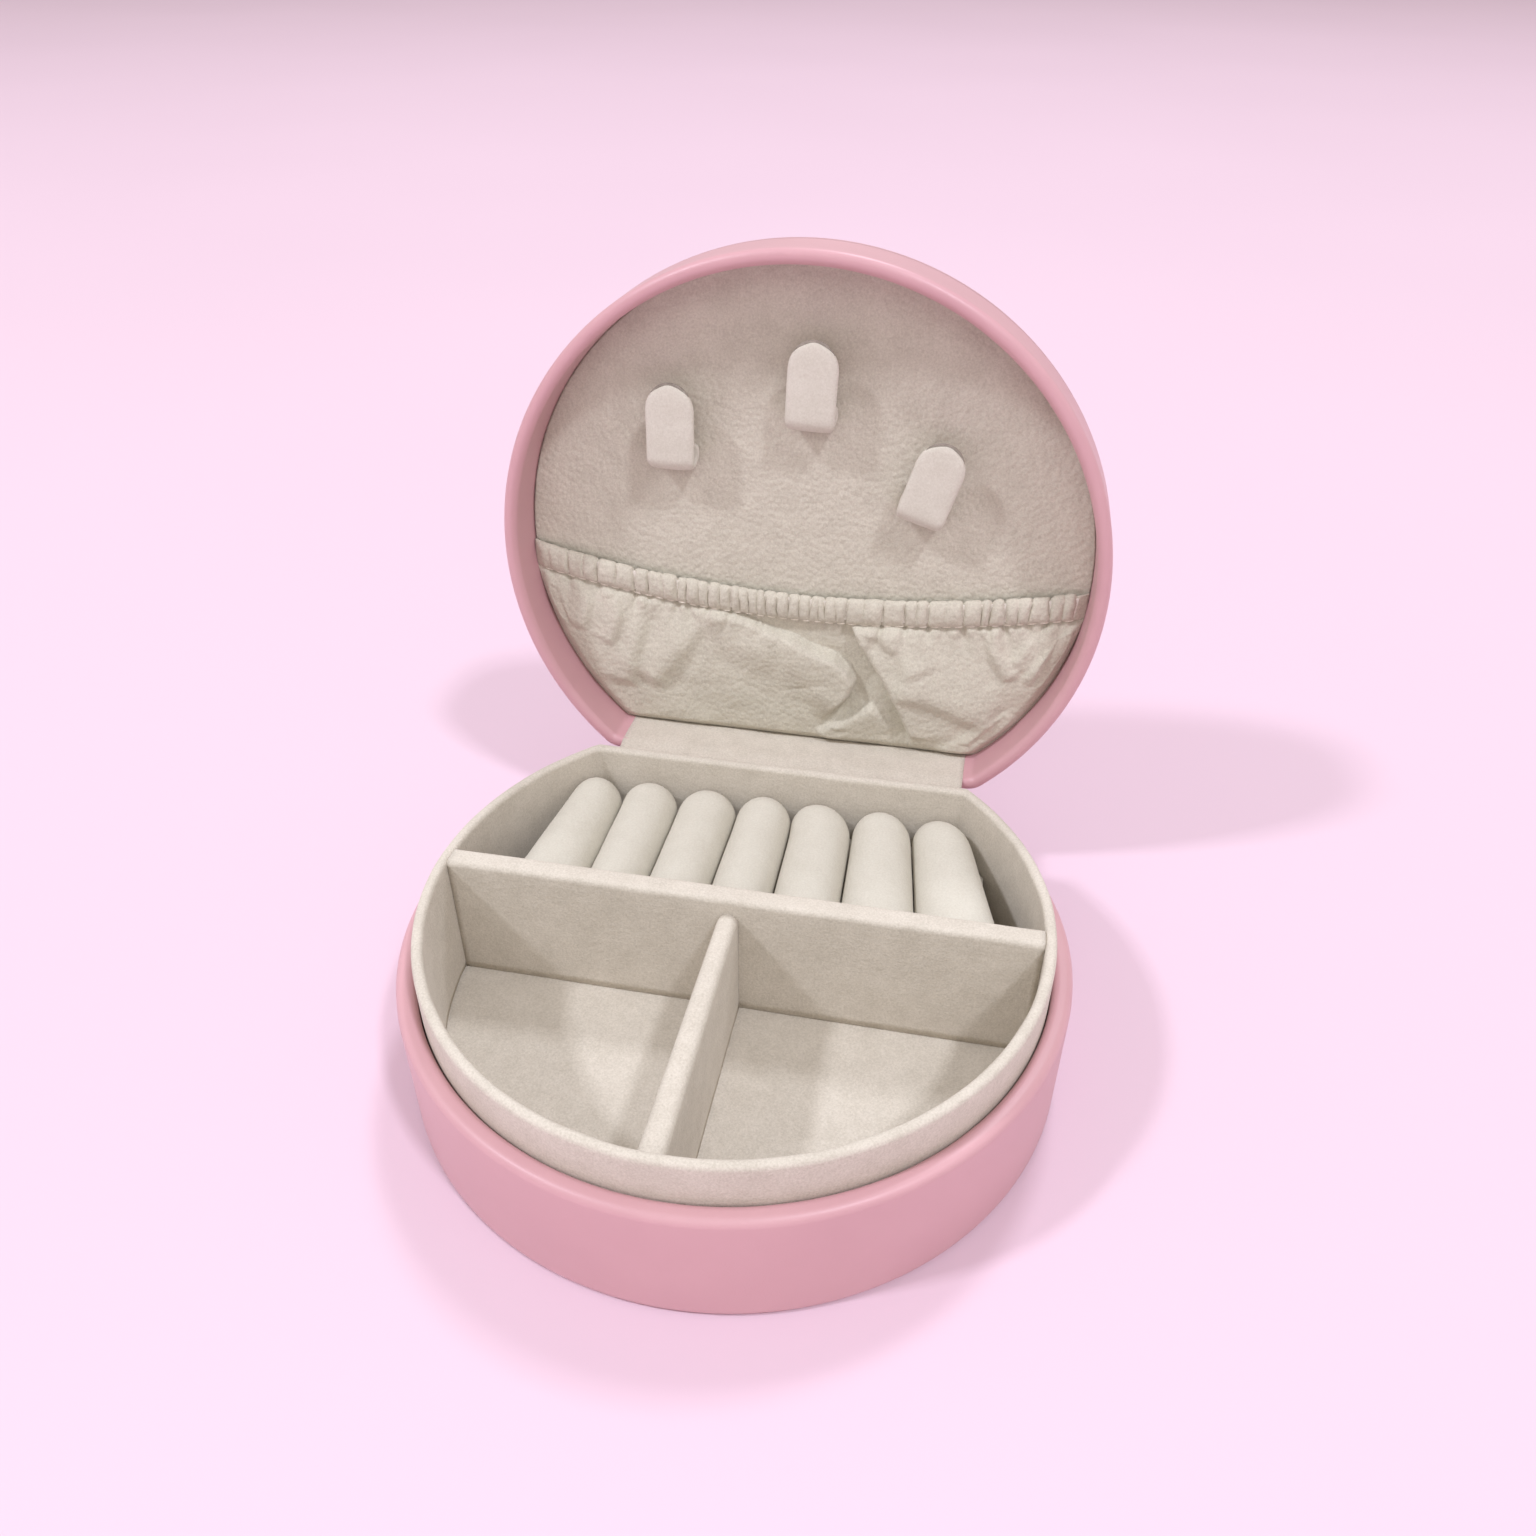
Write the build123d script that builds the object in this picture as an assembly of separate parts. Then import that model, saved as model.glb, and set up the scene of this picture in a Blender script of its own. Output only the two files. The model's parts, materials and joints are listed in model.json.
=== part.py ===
"""Round leather jewellery case with a flat back, a hinged lid, a ring bed and two compartments.

Millimetres. The origin is the centre of the round outline on the face that the case rests on.
+Z is up, -Y is the front and +Y is the flat back with the hinge. The lid is built closed and
is turned open about its hinge line at the end.
"""

from build123d import *
import math
import os

# Overall sizes
case_radius = 60.0
back_distance = 45.0
corner_radius = 5.0
base_height = 24.0
lid_height = 15.2
lid_open_angle = 93.2

# Sheet and board thicknesses
leather = 0.7
velvet = 0.5
base_wall_thickness = 2.2
base_floor_thickness = 2.0
lid_wall_thickness = 1.4
lid_top_thickness = 1.5
liner_thickness = 1.0
pad_thickness = 0.8
collar_thickness = 1.0
tray_floor_thickness = 1.5

# Edges and clearances
glue = 0.05
edge_reveal = 0.5
slip = 0.2
lid_gap = 0.15
soft_gap = 0.35
leather_lip = 8.0
crown_radius = 4.6
collar_edge_radius = 0.8

# Collar and dividers
collar_rise = 7.6
cross_divider_y = 1.15
cross_divider_thickness = 3.4
short_divider_x = -1.2
short_divider_thickness = 2.6
short_divider_drop = 3.0
divider_edge_radius = 1.0

# Ring rolls
roll_count = 7
roll_pitch = 12.4
roll_diameter = 12.2
roll_top = 27.4
roll_flat = 1.2

# Lid lining
liner_depth = lid_height - 4.6
hook_width = 9.6
hook_length = 17.8
hook_core_thickness = 0.6
hook_gap = 2.2
hook_root = 5.0
hook_places = ((-26.1, -16.8, 0.0), (0.8, -26.4, 2.0), (22.3, -10.0, 17.0))

# Pocket
hem_end_y = 1.5
hem_sag = 6.5
hem_height = 5.4
pocket_depth = 2.5
hem_mouth = 0.7
elastic_width = 4.0
elastic_thickness = 0.8
thread = 0.3

# Hinge
hinge_width = 74.0
hinge_y = 47.8
hinge_z = 19.8
hinge_bend = 6.4
hinge_glued = 9.0

# Worked out from the sizes above
angle = math.radians(lid_open_angle)
base_wall = 2 * leather + base_wall_thickness
collar_inset = base_wall + slip
collar_wall = 2 * velvet + collar_thickness
tray_inset = collar_inset + collar_wall
collar_top = base_height + collar_rise
tray_floor_z = leather + base_floor_thickness + 2 * glue
floor_top = tray_floor_z + tray_floor_thickness + velvet + glue
cross_width = cross_divider_thickness + 2 * velvet
cross_front = cross_divider_y - cross_width / 2
cross_rear = cross_divider_y + cross_width / 2
roll_radius = roll_diameter / 2
roll_centre_z = roll_top - roll_radius
bed_top = roll_centre_z - roll_radius + roll_flat
roll_back_y = back_distance - tray_inset - soft_gap
lid_wall = 2 * leather + lid_wall_thickness
lid_rim_z = base_height + lid_gap
lid_top_z = base_height + lid_height
liner_z = lid_rim_z + liner_depth
liner_inset = lid_wall + slip
seam_z = lid_top_z - crown_radius
hook_thickness = hook_core_thickness + 2 * velvet
hem_half_chord = math.sqrt((case_radius - liner_inset) ** 2 - hem_end_y ** 2)
hem_radius = (hem_half_chord ** 2 + hem_sag ** 2) / (2 * hem_sag)
hem_centre_y = hem_end_y + hem_sag - hem_radius


def outline(inset):
    """Round outline with its flat back, every side moved in by inset."""
    radius = case_radius - inset
    flat_y = back_distance - inset
    front_part = Pos(0, flat_y - 2 * radius) * Rectangle(4 * radius, 4 * radius)
    shape = Circle(radius) & front_part
    return fillet(shape.vertices(), max(corner_radius - inset, 0.8))


def slab(inset, low, high):
    return Pos(0, 0, low) * extrude(outline(inset), high - low)


def band(outer_inset, inner_inset, low, high):
    return slab(outer_inset, low, high) - slab(inner_inset, low - 1, high + 1)


def block(x_low, x_high, y_low, y_high, z_low, z_high):
    size = (x_high - x_low, y_high - y_low, z_high - z_low)
    middle = ((x_low + x_high) / 2, (y_low + y_high) / 2, (z_low + z_high) / 2)
    return Pos(*middle) * Box(*size)


def edges_at(shape, z):
    """Edges that lie whole in the level plane at z."""
    level = []
    for edge in shape.edges():
        box = edge.bounding_box()
        if abs(box.min.Z - z) < 1e-4 and abs(box.max.Z - z) < 1e-4:
            level.append(edge)
    return level


def crown(inset):
    """The closed lid as one block with its rounded top edge, moved in by inset."""
    top = lid_top_z - inset
    solid = slab(inset, lid_rim_z, top)
    return fillet(edges_at(solid, top), crown_radius - inset)


def opened(shape):
    """Turn a piece of the closed lid to the open position."""
    hinge = Pos(0, hinge_y, hinge_z)
    return hinge * Rot(-lid_open_angle, 0, 0) * hinge.inverse() * shape


def opened_point(y, z):
    """Where a point of the closed lid lies when the lid is open."""
    dy = y - hinge_y
    dz = z - hinge_z
    return (
        hinge_y + dy * math.cos(angle) + dz * math.sin(angle),
        hinge_z - dy * math.sin(angle) + dz * math.cos(angle),
    )


def save(name, shape):
    shape.label = name
    export_step(shape, f"parts/{name}.step")


def base_pieces():
    wall_low = leather + glue
    bottom_leather = slab(leather + glue, 0, leather)
    bottom_board = slab(leather + base_wall_thickness + 2 * glue, wall_low, wall_low + base_floor_thickness)
    wall_board = band(leather + glue, leather + base_wall_thickness - glue, wall_low, base_height - leather)

    skin = band(0, base_wall, edge_reveal, base_height)
    skin = fillet(edges_at(skin, base_height), 0.45 * base_wall)
    skin -= band(leather, leather + base_wall_thickness, 0, base_height - leather + glue)
    skin -= slab(leather + base_wall_thickness - glue, 0, base_height - leather_lip)
    save("base_bottom_leather", bottom_leather)
    save("base_bottom_board", bottom_board)
    save("base_wall_board", wall_board)
    save("base_side_leather", skin)


def collar_pieces():
    board_outer = collar_inset + velvet + glue
    board_inner = board_outer + collar_thickness - 2 * glue
    board_top = collar_top - velvet - glue
    board = band(board_outer, board_inner, tray_floor_z, board_top)

    cover = band(collar_inset, tray_inset, floor_top + glue, collar_top)
    cover = fillet(edges_at(cover, collar_top), collar_edge_radius)
    cover -= band(board_outer - glue, board_inner + glue, 0, board_top + glue)
    outer_side = band(collar_inset - 1, board_outer, 0, base_height - leather_lip)
    save("collar_board", board)
    save("collar_velvet", cover - outer_side)

    floor_inset = board_inner + glue
    save("tray_floor_board", slab(floor_inset, tray_floor_z, tray_floor_z + tray_floor_thickness))
    save("tray_floor_velvet", slab(floor_inset, floor_top - velvet, floor_top))


def divider_pieces():
    room = slab(tray_inset + glue, floor_top + glue, collar_top)

    cross = block(-case_radius, case_radius, cross_front, cross_rear, floor_top + glue, collar_top)
    cross = fillet(edges_at(cross, collar_top), divider_edge_radius) & room
    cross_board = block(
        -case_radius, case_radius,
        cross_front + velvet, cross_rear - velvet,
        floor_top + glue, collar_top - velvet,
    ) & room
    save("cross_divider_velvet", cross - cross_board)
    save("cross_divider_board", cross_board & slab(tray_inset + velvet, 0, collar_top - velvet - glue))

    half = short_divider_thickness / 2 + velvet
    short_top = collar_top - short_divider_drop
    left, right = short_divider_x - half, short_divider_x + half
    short = block(left, right, -case_radius, cross_front - glue, floor_top + glue, short_top)
    short = fillet(edges_at(short, short_top), divider_edge_radius) & room
    short_board = block(
        left + velvet, right - velvet,
        -case_radius, cross_front - velvet - glue,
        floor_top + glue, short_top - velvet,
    ) & room
    save("short_divider_velvet", short - short_board)
    save("short_divider_board", short_board & slab(tray_inset + velvet, 0, short_top - velvet - glue))


def roll_solid(x, margin):
    """One ring roll with its flat underside, moved in by margin on every side."""
    front = cross_rear + soft_gap + margin
    length = roll_back_y - margin - front
    rod = Pos(x, front + length / 2, roll_centre_z) * Rot(90, 0, 0) * Cylinder(roll_radius - margin, length)
    room = slab(tray_inset + soft_gap + margin, bed_top + glue + margin, collar_top)
    return rod & room


def ring_pieces():
    half = roll_count * roll_pitch / 2
    bed = block(-half, half, cross_rear + soft_gap, roll_back_y, floor_top + glue, bed_top)
    save("ring_bed_foam", bed & slab(tray_inset + soft_gap, 0, bed_top))
    for number in range(roll_count):
        x = (number - (roll_count - 1) / 2) * roll_pitch
        whole = roll_solid(x, 0)
        core = roll_solid(x, velvet + glue)
        save(f"ring_roll_foam_{number + 1}", core)
        save(f"ring_roll_velvet_{number + 1}", whole - roll_solid(x, velvet))


def lid_shell_pieces():
    wall_inner = leather + lid_wall_thickness
    board = band(leather + glue, wall_inner - glue, lid_rim_z + leather, liner_z + velvet + liner_thickness)
    save("lid_wall_board", opened(board & crown(leather + glue)))

    skin = band(0, lid_wall, lid_rim_z, seam_z - glue)
    skin = fillet(edges_at(skin, lid_rim_z), 0.45 * lid_wall)
    skin -= band(leather, wall_inner, lid_rim_z + leather - glue, lid_top_z)
    skin -= slab(wall_inner - glue, liner_z + velvet, lid_top_z)
    back_inside = back_distance - wall_inner
    skin -= block(-hinge_width / 2, hinge_width / 2, back_inside - leather - 1, back_inside, 0, lid_top_z)
    save("lid_side_leather", opened(skin))

    top_leather = crown(0) - crown(leather)
    save("lid_top_leather", opened(top_leather & slab(0, seam_z, lid_top_z)))

    board_low = liner_z + velvet + liner_thickness + 3 * glue
    board_high = board_low + lid_top_thickness
    crown_inside = math.sqrt((crown_radius - leather) ** 2 - (board_high - seam_z) ** 2)
    board_inset = max(crown_radius - crown_inside, wall_inner) + slip
    save("lid_top_board", opened(slab(board_inset, board_low, board_high)))
    pad_low = board_high + glue
    save("lid_pad_foam", opened(slab(crown_radius, pad_low, min(pad_low + pad_thickness, lid_top_z - leather))))


def liner_pieces():
    board_low = liner_z + velvet
    board = slab(liner_inset + velvet + glue, board_low + glue, board_low + glue + liner_thickness)
    cover = slab(liner_inset, liner_z, board_low + liner_thickness)
    cover -= slab(liner_inset + velvet, board_low, lid_top_z)
    save("lid_liner_board", opened(board))
    save("lid_liner_velvet", opened(cover))


def hook_solid(margin):
    """A strap folded back on itself: a short root on the liner, a bend, and a rounded tongue."""
    thick = hook_thickness - 2 * margin
    bend_radius = hook_thickness + hook_gap / 2
    outer = bend_radius - margin
    inner = outer - thick
    turn = Pos(-bend_radius, -bend_radius) * (Circle(outer) - Circle(inner))
    turn &= Pos(0, -bend_radius) * Rectangle(2 * bend_radius, 2 * bend_radius)
    mid_leg = bend_radius - (outer + inner) / 2
    root_length = hook_root - bend_radius - margin
    tongue_length = hook_length - bend_radius - margin
    root = Pos(-bend_radius - root_length / 2, -mid_leg) * Rectangle(root_length, thick)
    tongue_drop = 2 * bend_radius - mid_leg
    tongue = Pos(-bend_radius - tongue_length / 2, -tongue_drop) * Rectangle(tongue_length, thick)
    width = hook_width - 2 * margin
    strap = extrude(Plane.YZ * (turn + root + tongue), width / 2, both=True)

    tip_radius = width / 2
    straight = hook_length - margin - tip_radius
    plan = Pos(0, -straight / 2) * Rectangle(width, straight) + Pos(0, -straight) * Circle(tip_radius)
    return strap & extrude(plan, -4 * bend_radius)


def hook_pieces():
    cover = hook_solid(0) - hook_solid(velvet)
    core = hook_solid(velvet + glue)
    for number, (x, y, tilt) in enumerate(hook_places, start=1):
        place = Pos(x, y, liner_z - glue) * Rot(0, 0, tilt)
        save(f"necklace_hook_velvet_{number}", opened(place * cover))
        save(f"necklace_hook_core_{number}", opened(place * core))


def hem_disc(offset):
    return Pos(0, hem_centre_y) * Circle(hem_radius + offset)


def hem_layer(shape, low, high):
    """A flat layer that hangs low to high millimetres off the liner."""
    return Pos(0, 0, liner_z - high) * extrude(shape, high - low)


def pocket_pieces():
    edge = liner_inset + soft_gap
    front = pocket_depth
    channel = (hem_height - elastic_width) / 2
    channel_low = (hem_mouth + front) / 2 - elastic_thickness / 2

    pouch = hem_layer(outline(edge) - hem_disc(hem_height), glue, front)
    pouch -= hem_layer(outline(edge + velvet) - hem_disc(0), 0, front - velvet)
    casing = hem_layer((outline(edge) - hem_disc(0)) & hem_disc(hem_height), hem_mouth, front)
    tunnel = (outline(edge + 2 * velvet) - hem_disc(channel)) & hem_disc(channel + elastic_width)
    casing -= hem_layer(tunnel, channel_low, channel_low + elastic_thickness)
    save("pocket_velvet", opened(pouch + casing))

    strip = (outline(edge + 3 * velvet) - hem_disc(channel + glue)) & hem_disc(channel + elastic_width - glue)
    save("pocket_elastic", opened(hem_layer(strip, channel_low + glue, channel_low + elastic_thickness - glue)))

    line = (outline(edge + 2 * velvet) - hem_disc(hem_height - thread)) & hem_disc(hem_height)
    save("pocket_thread", opened(hem_layer(line, front + glue, front + glue + thread)))


def strip_along_x(face):
    return extrude(Plane.YZ * face, hinge_width / 2, both=True)


def hinge_leather_piece():
    """Leather strip on the outside: up the base, round the bend and along the back of the lid."""
    strip_y = back_distance + glue + leather / 2
    rim_y, rim_z = opened_point(strip_y, lid_rim_z)
    end_y = strip_y + hinge_bend * (1 - math.cos(angle))
    bend_z = rim_z - hinge_bend * math.sin(angle) + (end_y - rim_y) / math.tan(angle)
    centre = (strip_y + hinge_bend, bend_z)
    half = leather / 2

    riser = Pos(strip_y, bend_z - hinge_glued / 2) * Rectangle(leather, hinge_glued)
    outer = CenterArc(centre, hinge_bend + half, 180, -lid_open_angle)
    inner = CenterArc(centre, hinge_bend - half, 180, -lid_open_angle)
    turn = make_face([outer, Line(outer @ 1, inner @ 1), inner, Line(inner @ 0, outer @ 0)])

    tail_y, tail_z = opened_point(strip_y, seam_z - glue)
    end_z = bend_z + hinge_bend * math.sin(angle)
    run_length = math.hypot(tail_y - end_y, tail_z - end_z)
    middle = Pos((end_y + tail_y) / 2, (end_z + tail_z) / 2)
    run = middle * Rot(0, 0, 90 - lid_open_angle) * Rectangle(run_length, leather)
    save("hinge_leather", strip_along_x(riser + turn + run))


def hinge_velvet_piece():
    """Velvet strip on the inside: from the collar over both back rims to the lid's liner."""
    lid_face = back_distance - leather - lid_wall_thickness - glue
    start_y = back_distance - collar_inset + glue
    over_rim = base_height + glue
    points = [
        (start_y, over_rim),
        (back_distance, over_rim),
        opened_point(lid_face, lid_rim_z + velvet),
        opened_point(lid_face, liner_z - glue),
        opened_point(lid_face - velvet, liner_z - glue),
        opened_point(lid_face - velvet, lid_rim_z + velvet),
        (back_distance, over_rim + velvet),
        (start_y, over_rim + velvet),
    ]
    save("hinge_velvet", strip_along_x(make_face(Polyline(*points, close=True))))


os.makedirs("parts", exist_ok=True)
base_pieces()
collar_pieces()
divider_pieces()
ring_pieces()
lid_shell_pieces()
liner_pieces()
hook_pieces()
pocket_pieces()
hinge_leather_piece()
hinge_velvet_piece()
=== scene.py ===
"""Round leather jewellery case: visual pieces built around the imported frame.

Sizes are in millimetres in the frame's own axes, and one function turns them to metres. Pieces of
the lid are drawn closed and turned open about the hinge, as the case itself is made.
"""

import json
import math

import bmesh
import bpy
import numpy as np
from mathutils import Matrix, Vector, noise


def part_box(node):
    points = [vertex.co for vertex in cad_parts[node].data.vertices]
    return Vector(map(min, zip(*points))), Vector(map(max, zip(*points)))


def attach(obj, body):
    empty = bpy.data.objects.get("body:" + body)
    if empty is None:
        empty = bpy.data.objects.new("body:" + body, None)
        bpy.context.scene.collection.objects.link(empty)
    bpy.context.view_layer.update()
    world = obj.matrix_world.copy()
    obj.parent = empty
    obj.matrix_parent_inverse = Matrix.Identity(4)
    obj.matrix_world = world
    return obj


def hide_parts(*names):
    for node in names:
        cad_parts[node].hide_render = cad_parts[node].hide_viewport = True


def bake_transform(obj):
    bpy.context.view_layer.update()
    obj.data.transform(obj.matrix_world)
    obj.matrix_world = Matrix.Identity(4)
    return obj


bl_info = {
    "name": "Leather jewellery case",
    "version": (1, 0, 0),
    "blender": (4, 5, 0),
    "location": "3D View > Sidebar > Jewellery case",
    "description": "Builds a round leather jewellery case with a velvet lining",
    "category": "Add Mesh",
}

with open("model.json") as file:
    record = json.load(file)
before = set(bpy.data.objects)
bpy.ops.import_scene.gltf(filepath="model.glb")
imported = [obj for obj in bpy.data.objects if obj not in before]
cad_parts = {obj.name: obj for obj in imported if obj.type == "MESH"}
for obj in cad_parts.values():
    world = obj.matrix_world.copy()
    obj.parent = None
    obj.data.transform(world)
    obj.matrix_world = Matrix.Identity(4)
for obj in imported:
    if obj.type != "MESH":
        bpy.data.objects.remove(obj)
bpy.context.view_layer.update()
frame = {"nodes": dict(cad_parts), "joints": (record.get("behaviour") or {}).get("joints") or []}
MM = 0.001
JOINT = frame["joints"][0]
HINGE_Y = JOINT["pos_m"][1] / MM
HINGE_Z = JOINT["pos_m"][2] / MM
OPEN_ANGLE = -math.radians(JOINT["range_deg"][0])


# ---------------------------------------------------------------- sizes read from the frame

def node_box(name):
    """Lowest and highest corners of a CAD node, in millimetres."""
    low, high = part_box(name)
    return np.array(low) / MM, np.array(high) / MM


def closed_box(name):
    """The box of a lid node as it lies when the lid is shut, in millimetres."""
    points = np.array([vertex.co for vertex in frame["nodes"][name].data.vertices]) / MM
    points = turn_about_hinge(points, -OPEN_ANGLE)
    return points.min(0), points.max(0)


def turn_about_hinge(points, angle):
    """Turn points about the hinge line, opening the lid for a positive angle."""
    points = np.array(points, float)
    dy = points[:, 1] - HINGE_Y
    dz = points[:, 2] - HINGE_Z
    turned = points.copy()
    turned[:, 1] = HINGE_Y + dy * math.cos(angle) + dz * math.sin(angle)
    turned[:, 2] = HINGE_Z - dy * math.sin(angle) + dz * math.cos(angle)
    return turned


SHELL_LOW, SHELL_HIGH = node_box("base_side_leather")
CASE_RADIUS = (SHELL_HIGH[0] - SHELL_LOW[0]) / 2
BACK_Y = SHELL_HIGH[1]
BASE_RIM_Z = SHELL_HIGH[2]
CORNER_RADIUS = 5.0
LEATHER = node_box("base_bottom_leather")[1][2]
COLLAR_HIGH = node_box("collar_velvet")[1]
COLLAR_INSET = CASE_RADIUS - COLLAR_HIGH[0]
COLLAR_TOP = COLLAR_HIGH[2]
FLOOR_TOP = node_box("tray_floor_velvet")[1][2]
FLOOR_INSET = CASE_RADIUS - node_box("tray_floor_velvet")[1][0]
TRAY_INSET = CASE_RADIUS - node_box("cross_divider_velvet")[1][0]
CROSS_LOW, CROSS_HIGH = node_box("cross_divider_velvet")
SHORT_LOW, SHORT_HIGH = node_box("short_divider_velvet")
BASE_WALL = COLLAR_INSET - 0.2
LID_LOW, LID_HIGH = closed_box("lid_side_leather")
LID_TOP_LOW, LID_TOP_HIGH = closed_box("lid_top_leather")
LINER_LOW, LINER_HIGH = closed_box("lid_liner_velvet")
LINER_INSET = CASE_RADIUS - LINER_HIGH[0]
LINER_Z = LINER_LOW[2]
LID_WALL = LINER_INSET - 0.2
POCKET_LOW, POCKET_HIGH = closed_box("pocket_velvet")
HINGE_HALF_WIDTH = node_box("hinge_velvet")[1][0]


# ---------------------------------------------------------------- outline and mesh helpers

ARC_POINTS = 176
CORNER_POINTS = 10
BACK_POINTS = 26


def outline_points(inset):
    """The round outline with its flat back, moved in by inset: a closed ring of (x, y) points."""
    radius = CASE_RADIUS - inset
    flat_y = BACK_Y - inset
    corner = max(CORNER_RADIUS - inset, 0.8)
    corner_y = flat_y - corner
    corner_x = math.sqrt(max((radius - corner) ** 2 - corner_y ** 2, 0.01))
    join = math.atan2(corner_y, corner_x)
    points = []
    for step in range(CORNER_POINTS):
        turn = math.radians(90) + (join - math.radians(90)) * step / CORNER_POINTS
        points.append((corner_x + corner * math.cos(turn), corner_y + corner * math.sin(turn)))
    sweep = 2 * join + math.pi
    for step in range(ARC_POINTS + 1):
        turn = join - sweep * step / ARC_POINTS
        points.append((radius * math.cos(turn), radius * math.sin(turn)))
    for step in range(1, CORNER_POINTS + 1):
        turn = math.pi - join + (join - math.radians(90)) * step / CORNER_POINTS
        points.append((-corner_x + corner * math.cos(turn), corner_y + corner * math.sin(turn)))
    for step in range(1, BACK_POINTS):
        points.append((-corner_x + 2 * corner_x * step / BACK_POINTS, flat_y))
    return points


def rounded(inset, z, radius, start, end, steps=7):
    """Points of an arc in a wall's section, from start to end degrees, where 0 points inwards."""
    points = []
    for step in range(steps + 1):
        turn = math.radians(start + (end - start) * step / steps)
        points.append((inset + radius * math.cos(turn), z + radius * math.sin(turn)))
    return points


def spread(start, end, steps):
    """Points along a straight stretch of a wall's section, without its last one."""
    return [
        (start[0] + (end[0] - start[0]) * step / steps, start[1] + (end[1] - start[1]) * step / steps)
        for step in range(steps)
    ]


def make_object(name, points, faces, opened=False, smooth=True, outward=True):
    """A mesh object from millimetre points, with its place in its mesh."""
    points = np.array(points, float)
    if opened:
        points = turn_about_hinge(points, OPEN_ANGLE)
    mesh = bpy.data.meshes.new(name)
    mesh.from_pydata((points * MM).tolist(), [], faces)
    shape = bmesh.new()
    shape.from_mesh(mesh)
    bmesh.ops.remove_doubles(shape, verts=shape.verts, dist=1e-6)
    if outward:
        bmesh.ops.recalc_face_normals(shape, faces=shape.faces)
    shape.to_mesh(mesh)
    shape.free()
    mesh.polygons.foreach_set("use_smooth", [smooth] * len(mesh.polygons))
    piece = bpy.data.objects.new(name, mesh)
    bpy.context.scene.collection.objects.link(piece)
    return piece


def grid_faces(rows, columns, wrap_rows=False, wrap_columns=False, first=0):
    """Quads of a grid of points that is numbered row by row."""
    faces = []
    for row in range(rows if wrap_rows else rows - 1):
        next_row = (row + 1) % rows
        for column in range(columns if wrap_columns else columns - 1):
            next_column = (column + 1) % columns
            faces.append((
                first + row * columns + column,
                first + row * columns + next_column,
                first + next_row * columns + next_column,
                first + next_row * columns + column,
            ))
    return faces


def ring_shell(name, section, opened=False, soften=None):
    """A closed wall section, a list of (inset, z), carried round the outline."""
    points = []
    for inset, z in section:
        for x, y in outline_points(inset):
            point = (x, y, z)
            points.append(soften(point, inset) if soften else point)
    columns = len(points) // len(section)
    faces = grid_faces(len(section), columns, wrap_rows=True, wrap_columns=True)
    return make_object(name, points, faces, opened)


def plate(name, section, top_z, opened=False, soften=None, under_z=None, last_inset=50.0, rings=44):
    """A plate of the case's outline: an edge section, then rings that close on its middle.

    With under_z the plate is a thin sheet, and its rings go under as well as over.
    """
    levels = list(section)
    first_inset = section[-1][0]
    for step in range(1, rings + 1):
        levels.append((first_inset + (last_inset - first_inset) * step / rings, top_z))
    if under_z is not None:
        under = section[0][0]
        rings_under = 6
        reach = under - last_inset
        below = [(last_inset + reach * step / rings_under, under_z) for step in range(rings_under)]
        levels = below + levels
    points = []
    for inset, z in levels:
        for x, y in outline_points(inset):
            point = (x, y, z)
            points.append(soften(point, inset) if soften else point)
    columns = len(points) // len(levels)
    faces = grid_faces(len(levels), columns, wrap_columns=True)
    faces.append(tuple(range(columns)))
    last = (len(levels) - 1) * columns
    faces.append(tuple(range(last, last + columns)))
    return make_object(name, points, faces, opened)


def ripple(x, y, z, size, seed=0.0):
    """Smooth unevenness from -1 to 1 with bumps about size millimetres across."""
    return noise.noise(Vector((x / size + seed, y / size + 1.7 * seed, z / size - seed)))


def settle(piece, body, slot, material, *nodes):
    """Give a finished piece its body and material, and hide the CAD nodes it stands for. The slot argument is not
    used.
    """
    piece.data.materials.clear()
    piece.data.materials.append(material)
    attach(piece, body)
    if nodes:
        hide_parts(*nodes)
    return piece


def subdivide(piece, levels=1):
    modifier = piece.modifiers.new("Smooth surface", "SUBSURF")
    modifier.levels = levels
    modifier.render_levels = levels
    return piece


# ---------------------------------------------------------------- materials

def linear(hex_colour):
    """An sRGB hex colour as the linear colour that a shader takes."""
    channels = [int(hex_colour[i:i + 2], 16) / 255 for i in (1, 3, 5)]
    line = [c / 12.92 if c <= 0.04045 else ((c + 0.055) / 1.055) ** 2.4 for c in channels]
    return (*line, 1.0)


def tree_node(tree, kind, settings=None, **inputs):
    """Add a node to a tree, set its properties and inputs, and link what is given as a socket."""
    node = tree.nodes.new(kind)
    for key, value in (settings or {}).items():
        setattr(node, key, value)
    for key, value in inputs.items():
        numbered = key[0] == "i" and key[1:].isdigit()
        socket = node.inputs[int(key[1:])] if numbered else node.inputs[key.replace("_", " ")]
        if isinstance(value, bpy.types.NodeSocket):
            tree.links.new(value, socket)
        else:
            socket.default_value = value
    return node


def add_node(material, kind, settings=None, **inputs):
    """Add a shader node to a material."""
    return tree_node(material.node_tree, kind, settings, **inputs)


def new_material(name):
    material = bpy.data.materials.new(name)
    material.use_nodes = True
    material.node_tree.nodes.clear()
    return material


def ramp(material, factor, stops):
    """A colour ramp through (position, hex colour) stops."""
    node = add_node(material, "ShaderNodeValToRGB", Fac=factor)
    elements = node.color_ramp.elements
    while len(elements) < len(stops):
        elements.new(0.5)
    for element, (position, colour) in zip(elements, stops):
        element.position = position
        element.color = linear(colour)
    return node.outputs["Color"]


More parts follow.
